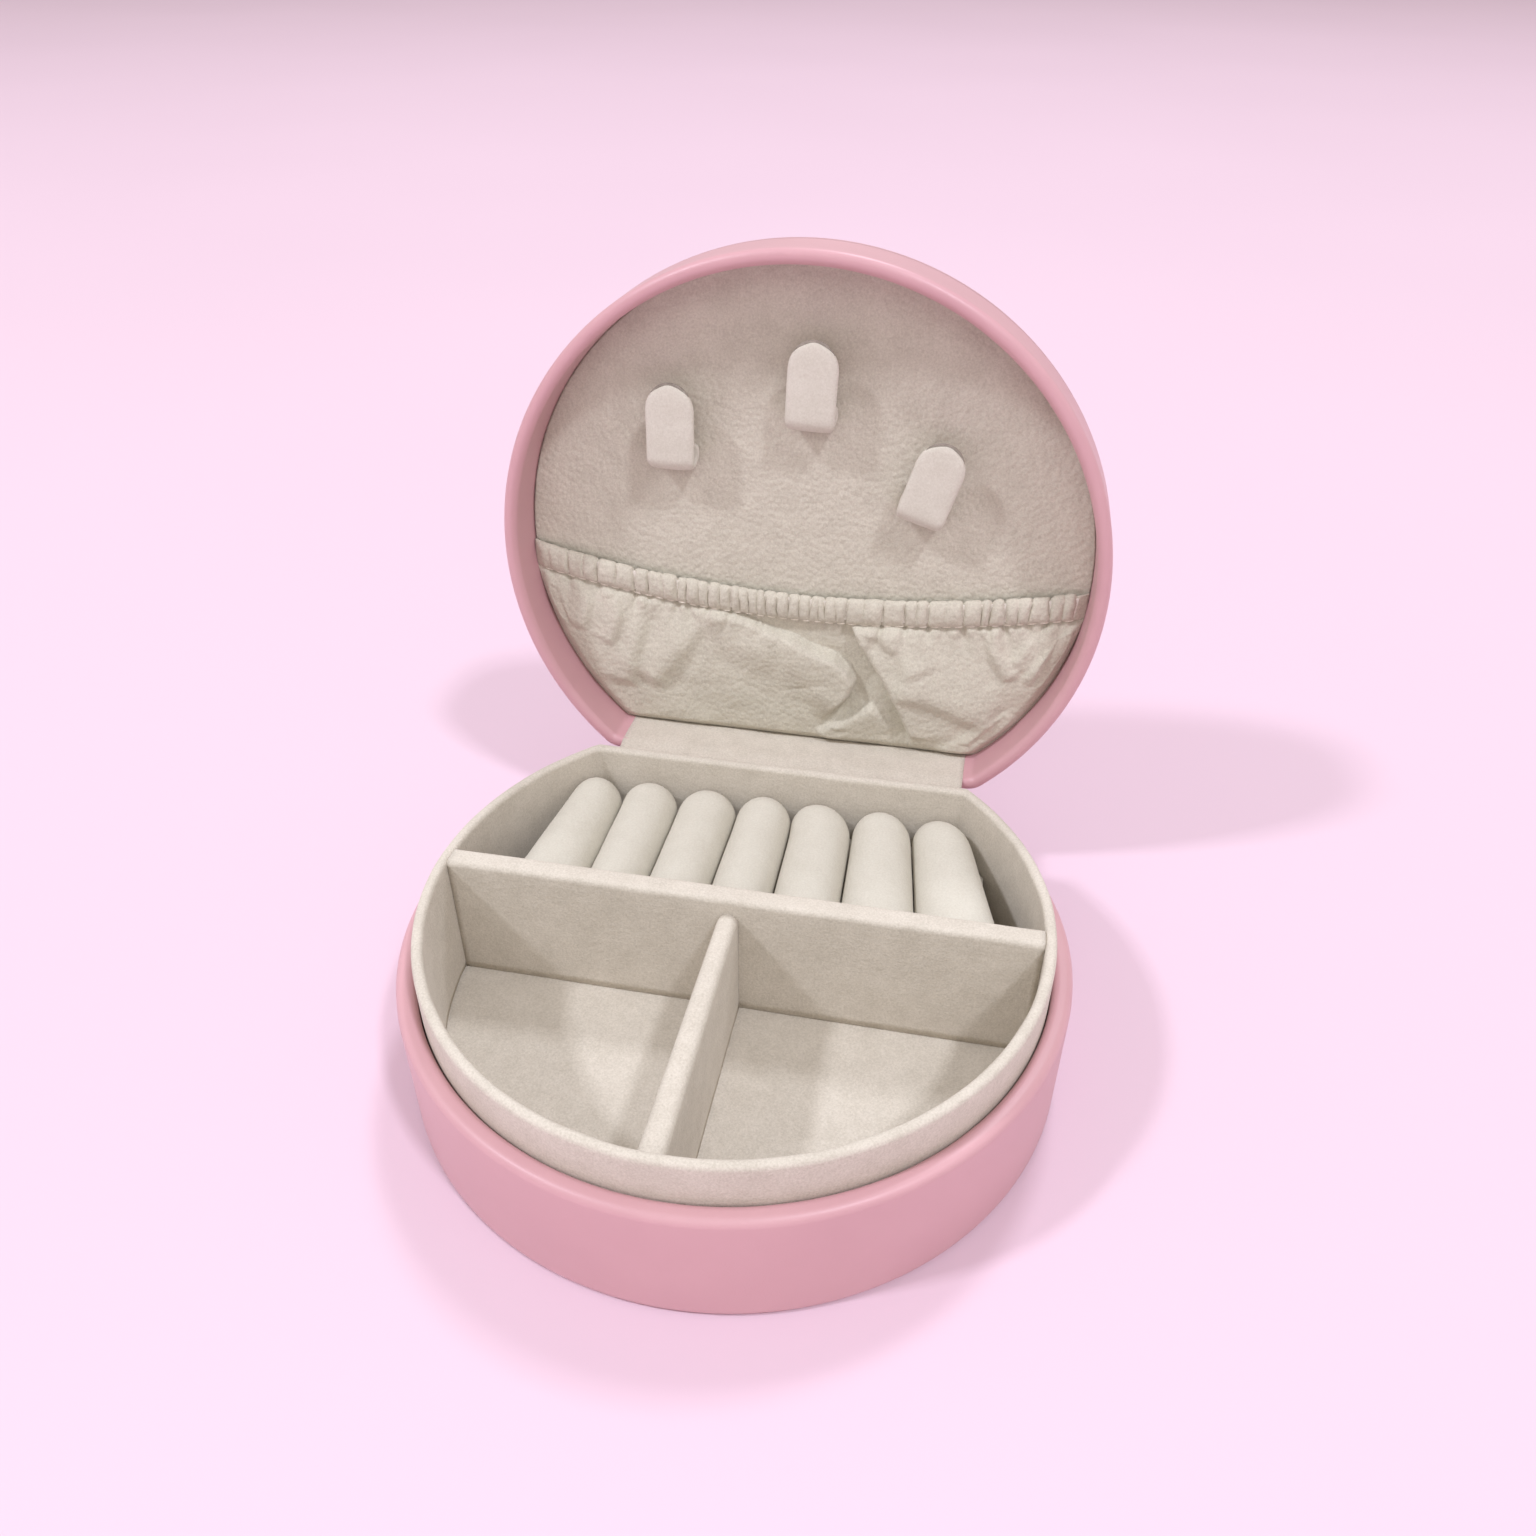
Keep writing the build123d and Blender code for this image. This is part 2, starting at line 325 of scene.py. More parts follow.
def coated_leather(name, light, dark, roughness):
    """Polyurethane coated leathercloth, embossed with a fine grain and calendered to a satin face.

    The eye gets one even colour with a soft broad shine, and grain only close up.
    """
    material = new_material(name)
    place = add_node(material, "ShaderNodeTexCoord").outputs["Object"]
    cloud = add_node(material, "ShaderNodeTexNoise", Vector=place, Scale=42.0, Detail=3.0)
    tone = ramp(material, cloud.outputs["Fac"], [(0.3, dark), (0.7, light)])
    # Grain cells about 0.45 mm across, drawn a little larger than real ones so that they show
    cells = add_node(
        material, "ShaderNodeTexVoronoi", {"feature": "DISTANCE_TO_EDGE"}, Vector=place, Scale=1900.0,
    )
    valleys = add_node(
        material, "ShaderNodeMapRange", Value=cells.outputs["Distance"],
        From_Min=0.0, From_Max=0.25, To_Min=0.0, To_Max=1.0,
    )
    pores = add_node(material, "ShaderNodeTexNoise", Vector=place, Scale=900.0, Detail=2.0)
    height = add_node(
        material, "ShaderNodeMath", {"operation": "ADD"},
        i0=valleys.outputs["Result"], i1=pores.outputs["Fac"],
    )
    # The cloth under the coating gives slow unevenness a few millimetres across
    waves = add_node(material, "ShaderNodeTexNoise", Vector=place, Scale=180.0, Detail=2.0)
    slow = add_node(material, "ShaderNodeBump", Strength=0.12, Distance=0.0006, Height=waves.outputs["Fac"])
    fine = add_node(
        material, "ShaderNodeBump", Strength=0.10, Distance=0.00008,
        Height=height.outputs["Value"], Normal=slow.outputs["Normal"],
    )
    wear = add_node(
        material, "ShaderNodeMapRange", Value=cloud.outputs["Fac"],
        From_Min=0.3, From_Max=0.7, To_Min=roughness - 0.05, To_Max=roughness + 0.06,
    )
    shader = add_node(
        material, "ShaderNodeBsdfPrincipled", Base_Color=tone, Roughness=wear.outputs["Result"],
        IOR=1.46, Normal=fine.outputs["Normal"],
    )
    shader.inputs["Coat Weight"].default_value = 0.22
    shader.inputs["Coat Roughness"].default_value = 0.38
    add_node(material, "ShaderNodeOutputMaterial", Surface=shader.outputs["BSDF"])
    return material


def flock_velvet(name, light, dark, nap=1.0, pebble=1.0):
    """Polyester microsuede velvet: a short dense nap, pebbled by brushing and glued over board.

    The eye gets a chalky face with a fine pebbled skin, and pale folded edges.
    """
    material = new_material(name)
    place = add_node(material, "ShaderNodeTexCoord").outputs["Object"]
    # Nap laid over in patches 3 to 6 mm across, barely darker than the rest
    patches = add_node(material, "ShaderNodeTexNoise", Vector=place, Scale=210.0, Detail=3.0, Roughness=0.55)
    # Tufts about 0.35 mm across, coarser than the real 0.02 mm fibres so that they show
    tufts = add_node(material, "ShaderNodeTexNoise", Vector=place, Scale=2600.0, Detail=3.0, Roughness=0.7)
    # Pebbles about 1.1 mm across where the nap has matted together
    pebbles = add_node(
        material, "ShaderNodeTexVoronoi", {"feature": "SMOOTH_F1"},
        Vector=place, Scale=900.0, Smoothness=0.45,
    )
    mixed = add_node(
        material, "ShaderNodeMix", {"data_type": "FLOAT"}, Factor=0.72,
        i2=patches.outputs["Fac"], i3=tufts.outputs["Fac"],
    )
    tone = ramp(material, mixed.outputs["Result"], [(0.36, dark), (0.64, light)])
    slow = add_node(
        material, "ShaderNodeBump", Strength=0.45 * pebble, Distance=0.00042,
        Height=pebbles.outputs["Distance"],
    )
    slow.invert = True
    fine = add_node(
        material, "ShaderNodeBump", Strength=0.45 * nap, Distance=0.00022,
        Height=tufts.outputs["Fac"], Normal=slow.outputs["Normal"],
    )
    shader = add_node(
        material, "ShaderNodeBsdfPrincipled", Base_Color=tone, Roughness=0.95,
        IOR=1.4, Normal=fine.outputs["Normal"],
    )
    shader.inputs["Specular IOR Level"].default_value = 0.12
    shader.inputs["Sheen Weight"].default_value = 0.18
    shader.inputs["Sheen Roughness"].default_value = 0.5
    shader.inputs["Sheen Tint"].default_value = linear("#FFF8F2")
    add_node(material, "ShaderNodeOutputMaterial", Surface=shader.outputs["BSDF"])
    return material


def pressed_fibre(name, light, dark, scale, roughness, bump):
    """Plain inner stock, such as grey board, cut foam or woven elastic: matt, with a fine fleck."""
    material = new_material(name)
    place = add_node(material, "ShaderNodeTexCoord").outputs["Object"]
    fleck = add_node(material, "ShaderNodeTexNoise", Vector=place, Scale=scale, Detail=5.0, Roughness=0.7)
    tone = ramp(material, fleck.outputs["Fac"], [(0.35, dark), (0.65, light)])
    relief = add_node(material, "ShaderNodeBump", Strength=bump, Distance=0.0002, Height=fleck.outputs["Fac"])
    shader = add_node(
        material, "ShaderNodeBsdfPrincipled", Base_Color=tone, Roughness=roughness,
        IOR=1.5, Normal=relief.outputs["Normal"],
    )
    add_node(material, "ShaderNodeOutputMaterial", Surface=shader.outputs["BSDF"])
    return material


def finish_of(name):
    """The case's finishes by name, made once from the panel's colours."""
    if name in bpy.data.materials:
        return bpy.data.materials[name]
    colours = bpy.context.scene.case_colours
    leather = (colours.leather_light, colours.leather_dark)
    velvet = (colours.velvet_light, colours.velvet_dark)
    board_velvet = (colours.board_velvet_light, colours.board_velvet_dark)
    roll = (colours.roll_light, colours.roll_dark)
    makers = {
        "leather_coated_satin": lambda n: coated_leather(n, *leather, 0.42),
        # Both copies are the same velvet. Their pebble really differs, but their colours differ only as painted
        # light, set for the light in the lid and in the tray.
        "velvet_lining": lambda n: flock_velvet(n, *velvet),
        "velvet_over_board": lambda n: flock_velvet(n, *board_velvet, 1.0, 0.3),
        "velvet_smooth": lambda n: flock_velvet(n, *roll, 0.5, 0.3),
        "board_grey_pressed": lambda n: pressed_fibre(n, "#A39C90", "#857E73", 900.0, 0.9, 0.3),
        "foam_cut": lambda n: pressed_fibre(n, "#EFECE4", "#D9D5CA", 1500.0, 0.95, 0.6),
        "elastic_woven": lambda n: pressed_fibre(n, "#EDE8DF", "#CFC8BC", 2200.0, 0.8, 0.5),
        "thread_polyester_spun": lambda n: pressed_fibre(n, "#F4EEE2", "#DDD3C2", 3000.0, 0.6, 0.5),
    }
    return makers[name](name)


# ---------------------------------------------------------------- panel values

class CaseSizes(bpy.types.PropertyGroup):
    """Sizes of the visual pieces that the frame leaves open."""

    rim_roundness: bpy.props.FloatProperty(
        name="Rim roundness", description="Radius of the rolled leather rims in millimetres",
        default=1.45, min=0.3, max=1.7,
    )
    velvet_edge: bpy.props.FloatProperty(
        name="Velvet edge", description="Radius of velvet folded over a board edge in millimetres",
        default=0.9, min=0.2, max=1.0,
    )
    velvet_unevenness: bpy.props.FloatProperty(
        name="Velvet unevenness", description="How far glued velvet wanders from flat in millimetres",
        default=0.14, min=0.0, max=0.5,
    )
    pucker_depth: bpy.props.FloatProperty(
        name="Pucker depth", description="Depth of the hem's puckers in millimetres",
        default=1.0, min=0.0, max=2.0,
    )
    stitch_length: bpy.props.FloatProperty(
        name="Stitch length", description="Length of one stitch of the hem in millimetres",
        default=2.4, min=1.0, max=6.0,
    )


def hex_colour(name, description, default):
    return bpy.props.StringProperty(name=name, description=description, default=default)


class CaseColours(bpy.types.PropertyGroup):
    """Colours of the finishes as sRGB hex values."""

    leather_light: hex_colour("Leather light", "Lighter leather tone", "#CFA1A6")
    leather_dark: hex_colour("Leather dark", "Darker leather tone", "#C99AA0")
    # The lining velvet and the board velvet are one cloth. The small difference between their colours is painted
    # light: the lining's colours are a touch greener to take out pink bounce light in the lid, and the board
    # velvet's are a touch pinker to stand in for the shade in the tray.
    velvet_light: hex_colour("Velvet light", "Nap seen end on", "#D3CEBE")
    velvet_dark: hex_colour("Velvet dark", "Nap laid over", "#BEB8A9")
    board_velvet_light: hex_colour("Board velvet light", "Nap seen end on, over the base's boards", "#D6CEC1")
    board_velvet_dark: hex_colour("Board velvet dark", "Nap laid over, over the base's boards", "#C0B8AA")
    roll_light: hex_colour("Roll light", "Smooth velvet, light", "#D6D2C5")
    roll_dark: hex_colour("Roll dark", "Smooth velvet, dark", "#CAC5B7")


class CaseOperator:
    """What every operator of the case shares."""

    bl_options = {"REGISTER", "UNDO"}

    def execute(self, context):
        self.build(context)
        return {"FINISHED"}


# ---------------------------------------------------------------- base

class CASE_OT_base_leather(CaseOperator, bpy.types.Operator):
    """Side leather of the base, rolled over the rim and down inside it"""

    bl_idname = "case.base_leather"
    bl_label = "Base leather"

    def build(self, context):
        low = SHELL_LOW[2]
        lip = BASE_RIM_Z - 8.0
        radius = context.scene.case_sizes.rim_roundness
        turned = 0.55
        section = rounded(turned, low + turned, turned, 270, 180, 4)
        section += spread((0.0, low + 1.2), (0.0, BASE_RIM_Z - radius - 0.2), 10)
        section += rounded(radius, BASE_RIM_Z - radius, radius, 180, 90, 9)
        section += rounded(BASE_WALL - radius, BASE_RIM_Z - radius, radius, 90, 0, 9)
        section += spread((BASE_WALL, BASE_RIM_Z - radius - 0.4), (BASE_WALL, lip), 3)
        section += [(BASE_WALL, lip), (BASE_WALL - LEATHER, lip), (LEATHER + 1.4, lip + 1.5), (LEATHER + 1.0, low)]

        def soften(point, inset):
            x, y, z = point
            push = 0.05 * ripple(x, y, z, 17.0, 3.1) + 0.03 * ripple(x, y, z * 0.3, 6.0, 8.4)
            scale = 1 - abs(push) / CASE_RADIUS
            return (x * scale, y * scale, z)

        piece = ring_shell("leather_base_side", section, soften=soften)
        settle(piece, "base", "case_leather", finish_of("leather_coated_satin"), "base_side_leather")


class CASE_OT_collar(CaseOperator, bpy.types.Operator):
    """Velvet-covered collar that the lid closes over"""

    bl_idname = "case.collar"
    bl_label = "Collar"

    def build(self, context):
        sizes = context.scene.case_sizes
        outer, inner, top = COLLAR_INSET, TRAY_INSET, COLLAR_TOP
        radius = sizes.velvet_edge
        low_outside = BASE_RIM_Z - 7.6
        section = spread((outer, low_outside), (outer, top - radius), 14)
        section += rounded(outer + radius, top - radius, radius, 180, 90, 6)
        section += rounded(inner - radius, top - radius, radius, 90, 0, 6)
        section += spread((inner, top - radius - 0.3), (inner, FLOOR_TOP + 0.06), 20)
        section += [(inner, FLOOR_TOP + 0.06), (inner - 0.4, FLOOR_TOP + 0.06), (inner - 0.4, low_outside - 1)]
        section += [(outer + 0.4, low_outside - 1), (outer + 0.4, low_outside)]
        corner_x = math.sqrt((CASE_RADIUS - inner) ** 2 - (BACK_Y - inner) ** 2)
        corner_y = BACK_Y - inner

        def soften(point, inset):
            x, y, z = point
            amount = sizes.velvet_unevenness * ripple(x, y, z * 0.5, 7.0, 5.2)
            # Velvet gathers in upright creases where it turns the two back corners
            for side, offsets in ((-1, (-2.2, 0.9, 3.4)), (1, (-1.3, 1.6))):
                along = math.hypot(x - side * corner_x, y - corner_y)
                signed = along if side * x < corner_x - 0.01 and y > corner_y - 0.5 else -along
                for offset in offsets:
                    lean = 0.05 * (top - z) * (offset / 3)
                    amount -= 0.32 * math.exp(-((signed - offset - lean) / 0.42) ** 2)
            if inset > (inner + outer) / 2:
                amount = abs(amount) if amount > 0 else amount
            scale = 1 - min(max(amount, -0.3), 0.3) / CASE_RADIUS * (1 if inset > (inner + outer) / 2 else 0.4)
            lift = 0.10 * ripple(x, y, 0, 9.0, 1.3) if z > top - 1.2 else 0.0
            return (x * scale, y * scale, z + lift)

        piece = ring_shell("velvet_collar", section, soften=soften)
        settle(piece, "base", "lining_velvet", finish_of("velvet_over_board"), "collar_velvet")


class CASE_OT_tray_floor(CaseOperator, bpy.types.Operator):
    """Velvet laid on the tray's floor"""

    bl_idname = "case.tray_floor"
    bl_label = "Tray floor"

    def build(self, context):
        unevenness = context.scene.case_sizes.velvet_unevenness
        low = FLOOR_TOP - 0.5
        section = [(FLOOR_INSET, low), (FLOOR_INSET, FLOOR_TOP - 0.15), (FLOOR_INSET + 0.4, FLOOR_TOP)]

        def soften(point, inset):
            x, y, z = point
            if inset < FLOOR_INSET + 0.3:
                return point
            return (x, y, z - unevenness * (0.5 + 0.5 * ripple(x, y, 0, 15.0, 9.0)))

        piece = plate("velvet_tray_floor", section, FLOOR_TOP, soften=soften)
        settle(piece, "base", "lining_velvet", finish_of("velvet_over_board"), "tray_floor_velvet")


def divider_section(low, high, top, radius):
    """Points across a divider, from one foot over its rounded top to the other: (across, z)."""
    points = [(low, FLOOR_TOP + 0.06 + (top - radius - FLOOR_TOP) * step / 14) for step in range(14)]
    for step in range(8):
        turn = math.radians(180 - 90 * step / 7)
        points.append((low + radius + radius * math.cos(turn), top - radius + radius * math.sin(turn)))
    for step in range(8):
        turn = math.radians(90 - 90 * step / 7)
        points.append((high - radius + radius * math.cos(turn), top - radius + radius * math.sin(turn)))
    points += [(high, top - radius - (top - radius - FLOOR_TOP - 0.06) * (step + 1) / 14) for step in range(14)]
    return points


def divider(name, section, place, steps, unevenness):
    """Sweep a divider's section between its two ends; place gives a point's spot from 0 to 1."""
    points = []
    for step in range(steps + 1):
        for across, z in section:
            x, y = place(across, step / steps)
            shift = unevenness * ripple(x, y, z, 8.0, 4.4)
            points.append((x + shift * 0.3, y + shift * 0.3, z + (shift * 0.6 if z > FLOOR_TOP + 2 else 0)))
    columns = len(section)
    faces = grid_faces(steps + 1, columns, wrap_columns=True)
    faces.append(tuple(range(columns)))
    faces.append(tuple(range(steps * columns, (steps + 1) * columns)))
    return make_object(name, points, faces)


class CASE_OT_dividers(CaseOperator, bpy.types.Operator):
    """Cross divider and short divider, boards wrapped in velvet"""

    bl_idname = "case.dividers"
    bl_label = "Dividers"

    def build(self, context):
        unevenness = context.scene.case_sizes.velvet_unevenness
        reach = CASE_RADIUS - TRAY_INSET - 0.04
        section = divider_section(CROSS_LOW[1], CROSS_HIGH[1], CROSS_HIGH[2], 1.1)

        def across_case(y, share):
            end = math.sqrt(reach ** 2 - y ** 2)
            return -end + 2 * end * share, y

        cross = divider("velvet_cross_divider", section, across_case, 90, unevenness)
        settle(cross, "base", "lining_velvet", finish_of("velvet_over_board"), "cross_divider_velvet")

        section = divider_section(SHORT_LOW[0], SHORT_HIGH[0], SHORT_HIGH[2], 1.35)
        middle = (SHORT_LOW[0] + SHORT_HIGH[0]) / 2

        def down_case(x, share):
            x = middle + (x - middle) * (1 + 0.25 * share)
            front = -math.sqrt(reach ** 2 - x ** 2)
            rear = SHORT_HIGH[1]
            return x, rear + (front - rear) * share

        short = divider("velvet_short_divider", section, down_case, 60, unevenness)
        rounded_end = SHORT_HIGH[2] - 3.0
        for vertex in short.data.vertices:
            z = vertex.co.z / MM
            back = SHORT_HIGH[1] - vertex.co.y / MM
            if z > rounded_end and back < 1.6:
                vertex.co.z -= 0.5 * MM * (1 - back / 1.6) ** 2 * abs(vertex.co.x / MM - middle) / 1.8
        settle(short, "base", "lining_velvet", finish_of("velvet_over_board"), "short_divider_velvet")


# The rolls' side edges across the tray, at a station near the front and one near the back
FRONT_STATION = (13.0, (-45.0, -31.6, -19.9, -7.7, 4.3, 17.2, 31.1, 46.0))
REAR_STATION = (34.0, (-42.4, -31.5, -19.7, -7.5, 4.0, 16.4, 28.4, 40.3))
# How far each roll's rear end leans sideways and reaches back, in millimetres
ROLL_ENDS = ((-0.6, -0.2), (-0.5, 0.2), (0.0, 0.1), (-0.2, 0.3), (-1.3, 0.0), (-0.2, 0.1), (-0.2, -0.3))


class CASE_OT_ring_rolls(CaseOperator, bpy.types.Operator):
    """Seven foam ring rolls in velvet sleeves"""

    bl_idname = "case.ring_rolls"
    bl_label = "Ring rolls"

    def build(self, context):
        for number, (lean, reach) in enumerate(ROLL_ENDS, start=1):
            node = f"ring_roll_velvet_{number}"
            low, high = node_box(node)
            piece = ring_roll(f"velvet_ring_roll_{number}", low, high, number, lean, reach)
            subdivide(piece)
            foam = f"ring_roll_foam_{number}"
            settle(piece, "base", "lining_velvet", finish_of("velvet_smooth"), node, foam)


def ring_roll(name, low, high, number, lean, reach):
    """One roll: a foam rod squeezed between its neighbours, with a domed rear end."""
    radius = (node_box("ring_roll_velvet_4")[1][0] - node_box("ring_roll_velvet_4")[0][0]) / 2
    middle_z = high[2] - radius
    front = low[1]
    length = node_box("ring_roll_velvet_4")[1][1] - 0.3 + reach - front
    dome = 5.6
    stations = [(0.0, 0.55), (0.25, 0.8), (0.8, 0.95), (1.6, 1.0)]
    stations += [(1.6 + (length - 1.6 - dome) * step / 16, 1.0) for step in range(1, 17)]
    for step in range(1, 13):
        turn = math.radians(90 * step / 12)
        stations.append((length - dome + dome * math.sin(turn), max(math.cos(turn), 0.0) ** 0.72))
    ring = 44
    points = []
    limit = CASE_RADIUS - TRAY_INSET - 0.35
    for along, share in stations:
        y = front + along
        blend = (y - FRONT_STATION[0]) / (REAR_STATION[0] - FRONT_STATION[0])
        left = FRONT_STATION[1][number - 1] * (1 - blend) + REAR_STATION[1][number - 1] * blend
        right = FRONT_STATION[1][number] * (1 - blend) + REAR_STATION[1][number] * blend
        half = (right - left) / 2 - 0.1
        tip = max(0.0, (along - length + dome + 4) / (dome + 4)) ** 2
        for step in range(ring):
            a = 2 * math.pi * step / ring
            wobble = 1 + 0.012 * ripple(math.cos(a) * 6, along, math.sin(a) * 6 + 20 * number, 7.0)
            x = (left + right) / 2 + half * share * wobble * math.cos(a) + lean * tip
            z = middle_z + radius * share * wobble * math.sin(a) - (1 - share) * 0.8
            z = min(max(z, low[2] + 0.02), high[2])
            spot_y = min(y, BACK_Y - TRAY_INSET - 0.3)
            distance = math.hypot(x, spot_y)
            if distance > limit:
                x, spot_y = x * limit / distance, spot_y * limit / distance
            points.append((x, spot_y, z))
    faces = grid_faces(len(stations), ring, wrap_columns=True)
    faces.append(tuple(range(ring)))
    last = (len(stations) - 1) * ring
    faces.append(tuple(range(last, last + ring)))
    return make_object(name, points, faces)


# ---------------------------------------------------------------- lid

class CASE_OT_lid_leather(CaseOperator, bpy.types.Operator):
    """Side leather of the lid with its rolled rim, and the top leather over its rounded edge"""

    bl_idname = "case.lid_leather"
    bl_label = "Lid leather"

    def build(self, context):
        rim, seam = LID_LOW[2], LID_HIGH[2]
        radius = min(context.scene.case_sizes.rim_roundness, 0.48 * LID_WALL)
        wall = LID_WALL
        inside_top = LINER_Z + 0.5
        section = spread((0.0, seam), (0.0, rim + radius + 0.3), 8)
        section += rounded(radius, rim + radius, radius, 180, 270, 8)
        section += rounded(wall - radius, rim + radius, radius, 270, 360, 8)
        section += spread((wall, rim + radius + 0.4), (wall, inside_top), 6)
        section += [(wall, inside_top), (wall - 0.65, inside_top), (wall - 0.65, seam), (0.55, seam)]
        back_face = BACK_Y - wall

        def soften(point, inset):
            x, y, z = point
            # The lip stops where the velvet hinge strip begins
            if inset > wall - 0.9 and abs(x) < HINGE_HALF_WIDTH and y > back_face - 0.2 and z > rim + 0.7:
                y = back_face + LEATHER + 0.1
            return (x, y, z)

        side = ring_shell("leather_lid_side", section, opened=True, soften=soften)
        settle(side, "lid", "case_leather", finish_of("leather_coated_satin"), "lid_side_leather")

        top = LID_TOP_HIGH[2]
        crown = top - seam - 0.05
        low = LID_TOP_LOW[2]
        section = rounded(crown, top - crown, crown - LEATHER, 90, 178, 8)
        section += [(LEATHER - 0.04, low), (0.0, low + 0.12)]
        section += rounded(crown, top - crown, crown, 178, 90, 14)
        cap = plate("leather_lid_top", section, top, opened=True, under_z=top - LEATHER)
        settle(cap, "lid", "case_leather", finish_of("leather_coated_satin"), "lid_top_leather")


class CASE_OT_liner(CaseOperator, bpy.types.Operator):
    """Velvet-covered liner panel inside the lid"""

    bl_idname = "case.liner"
    bl_label = "Lid liner"

    def build(self, context):
        unevenness = context.scene.case_sizes.velvet_unevenness
        high = LINER_HIGH[2]
        edge = LINER_INSET - 0.25
        section = [(edge + 0.3, high), (edge, high - 0.2)]
        section += rounded(edge + 0.5, LINER_Z + 0.5, 0.5, 180, 270, 5)

        def soften(point, inset):
            x, y, z = point
            if inset < LINER_INSET + 0.4:
                return point
            return (x, y, z + unevenness * (0.5 + 0.5 * ripple(x, y, 0, 12.0, 2.0)))

        piece = plate("velvet_lid_liner", section, LINER_Z, opened=True, soften=soften)
        settle(piece, "lid", "lining_velvet", finish_of("velvet_lining"), "lid_liner_velvet")


class CASE_OT_hooks(CaseOperator, bpy.types.Operator):
    """Three necklace hooks, velvet straps folded back on themselves"""

    bl_idname = "case.hooks"
    bl_label = "Necklace hooks"

    def build(self, context):
        for number in (1, 2, 3):
            node = f"necklace_hook_velvet_{number}"
            piece = necklace_hook(f"velvet_hook_{number}", node, number)
            subdivide(piece)
            settle(piece, "lid", "lining_velvet", finish_of("velvet_smooth"), node)


def hook_frame(node):
    """Centre of the bend, direction of the tongue and width of a hook, from its CAD node."""
    vertices = frame["nodes"][node].data.vertices
    points = turn_about_hinge(np.array([vertex.co for vertex in vertices]) / MM, -OPEN_ANGLE)
    flat = points[:, :2]
    middle = flat.mean(0)
    spread_out = flat - middle
    vectors = np.linalg.eigh(spread_out.T @ spread_out)[1]
    tongue = vectors[:, 1]
    if tongue[1] > 0:
        tongue = -tongue
    along = flat @ tongue
    side = np.array([-tongue[1], tongue[0]])
    across = flat @ side
    bend_end = tongue * along.min() + side * (across.min() + across.max()) / 2
    return bend_end, tongue, side, across.max() - across.min(), along.max() - along.min()


def necklace_hook(name, node, number):
    """A strap that lies on the liner, bends back and ends in a rounded tongue."""
    start, tongue, side, width, length = hook_frame(node)
    deep = LINER_Z - closed_box(node)[0][2]
    thick = 1.6
    bend = deep / 2
    path = []
    for step in range(5):
        path.append((5.0 - (5.0 - bend) * step / 5, thick / 2, 0.0))
    for step in range(13):
        turn = math.pi * step / 12
        mid = bend - thick / 2
        path.append((bend - mid * math.sin(turn), bend - mid * math.cos(turn), turn))
    for step in range(1, 13):
        path.append((bend + (length - bend - 0.8) * step / 12, deep - thick / 2, math.pi))
    half = width / 2
    ring = 20
    points = []
    for along, out, turn in path:
        reach = length - 0.8 - along
        share = 1.0
        if turn == math.pi and reach < half:
            share = math.sqrt(max(1 - ((half - reach) / half) ** 2, 0.004))
        if turn == 0.0 and along > 3.6:
            share = 0.75 + 0.25 * math.sqrt(max(1 - ((along - 3.6) / 1.4) ** 2, 0.0))
        waist = 1 - 0.10 * math.sin(turn) ** 2
        for step in range(ring):
            a = 2 * math.pi * step / ring
            ca, sa = math.cos(a), math.sin(a)
            across = half * share * waist * math.copysign(abs(ca) ** 0.5, ca)
            through = thick / 2 * math.copysign(abs(sa) ** 0.6, sa) * (0.5 + 0.5 * share)
            through += 0.10 * ripple(across, along, 9 * number, 3.0)
            # The strap's thickness points off the liner along the root and towards it past the bend
            a_shift = -through * math.sin(turn)
            o_shift = -through * math.cos(turn)
            spot = start + tongue * (along + a_shift) + side * across
            drop = max(out + o_shift + 0.04, 0.06)
            points.append((spot[0], spot[1], LINER_Z - drop))
    faces = grid_faces(len(path), ring, wrap_columns=True)
    faces.append(tuple(range(ring)))
    last = (len(path) - 1) * ring
    faces.append(tuple(range(last, last + ring)))
    return make_object(name, points, faces, opened=True)


# ---------------------------------------------------------------- pocket

HEM_HEIGHT = 5.4
HEM_SAG = 6.5
HEM_MIDDLE_HEIGHT = 1.45
PUCKER_HALF_WIDTH = 0.34
PUCKER_REACH = 1.7
PUCKER_CROWDING = 2.2
LIP_STRENGTH = 1.25
CASING_ROWS = 18
POUCH_ROWS = 70
POUCH_COLUMNS = 500

# Puckers that the elastic draws in the hem, left to right: place in millimetres and strength
HEM_PUCKERS = (
    (-53.6, 0.3), (-49.7, 0.6), (-46.4, 0.3), (-43.4, 0.7), (-39.2, 0.4), (-35.4, 1.0),
    (-32.4, 0.7), (-29.2, 0.3), (-26.2, 0.9), (-24.2, 0.8), (-21.6, 0.4), (-19.5, 0.7),
    (-17.0, 0.4), (-14.8, 1.0), (-12.9, 0.5), (-11.0, 0.7), (-9.1, 0.5), (-7.4, 0.8), (-5.0, 0.6),
    (-2.6, 0.7), (-0.3, 0.6), (2.0, 0.8), (3.6, 0.5), (5.1, 0.7), (7.4, 0.4), (9.5, 1.0),
    (13.2, 0.25), (17.0, 0.9), (21.5, 0.8), (23.8, 0.4), (26.1, 1.0), (29.6, 0.25), (33.1, 0.9),
    (36.7, 0.6), (38.4, 0.8), (41.3, 1.0), (43.8, 0.4), (46.1, 0.6), (49.9, 0.9), (52.4, 0.4),
    (54.6, 0.7),
)

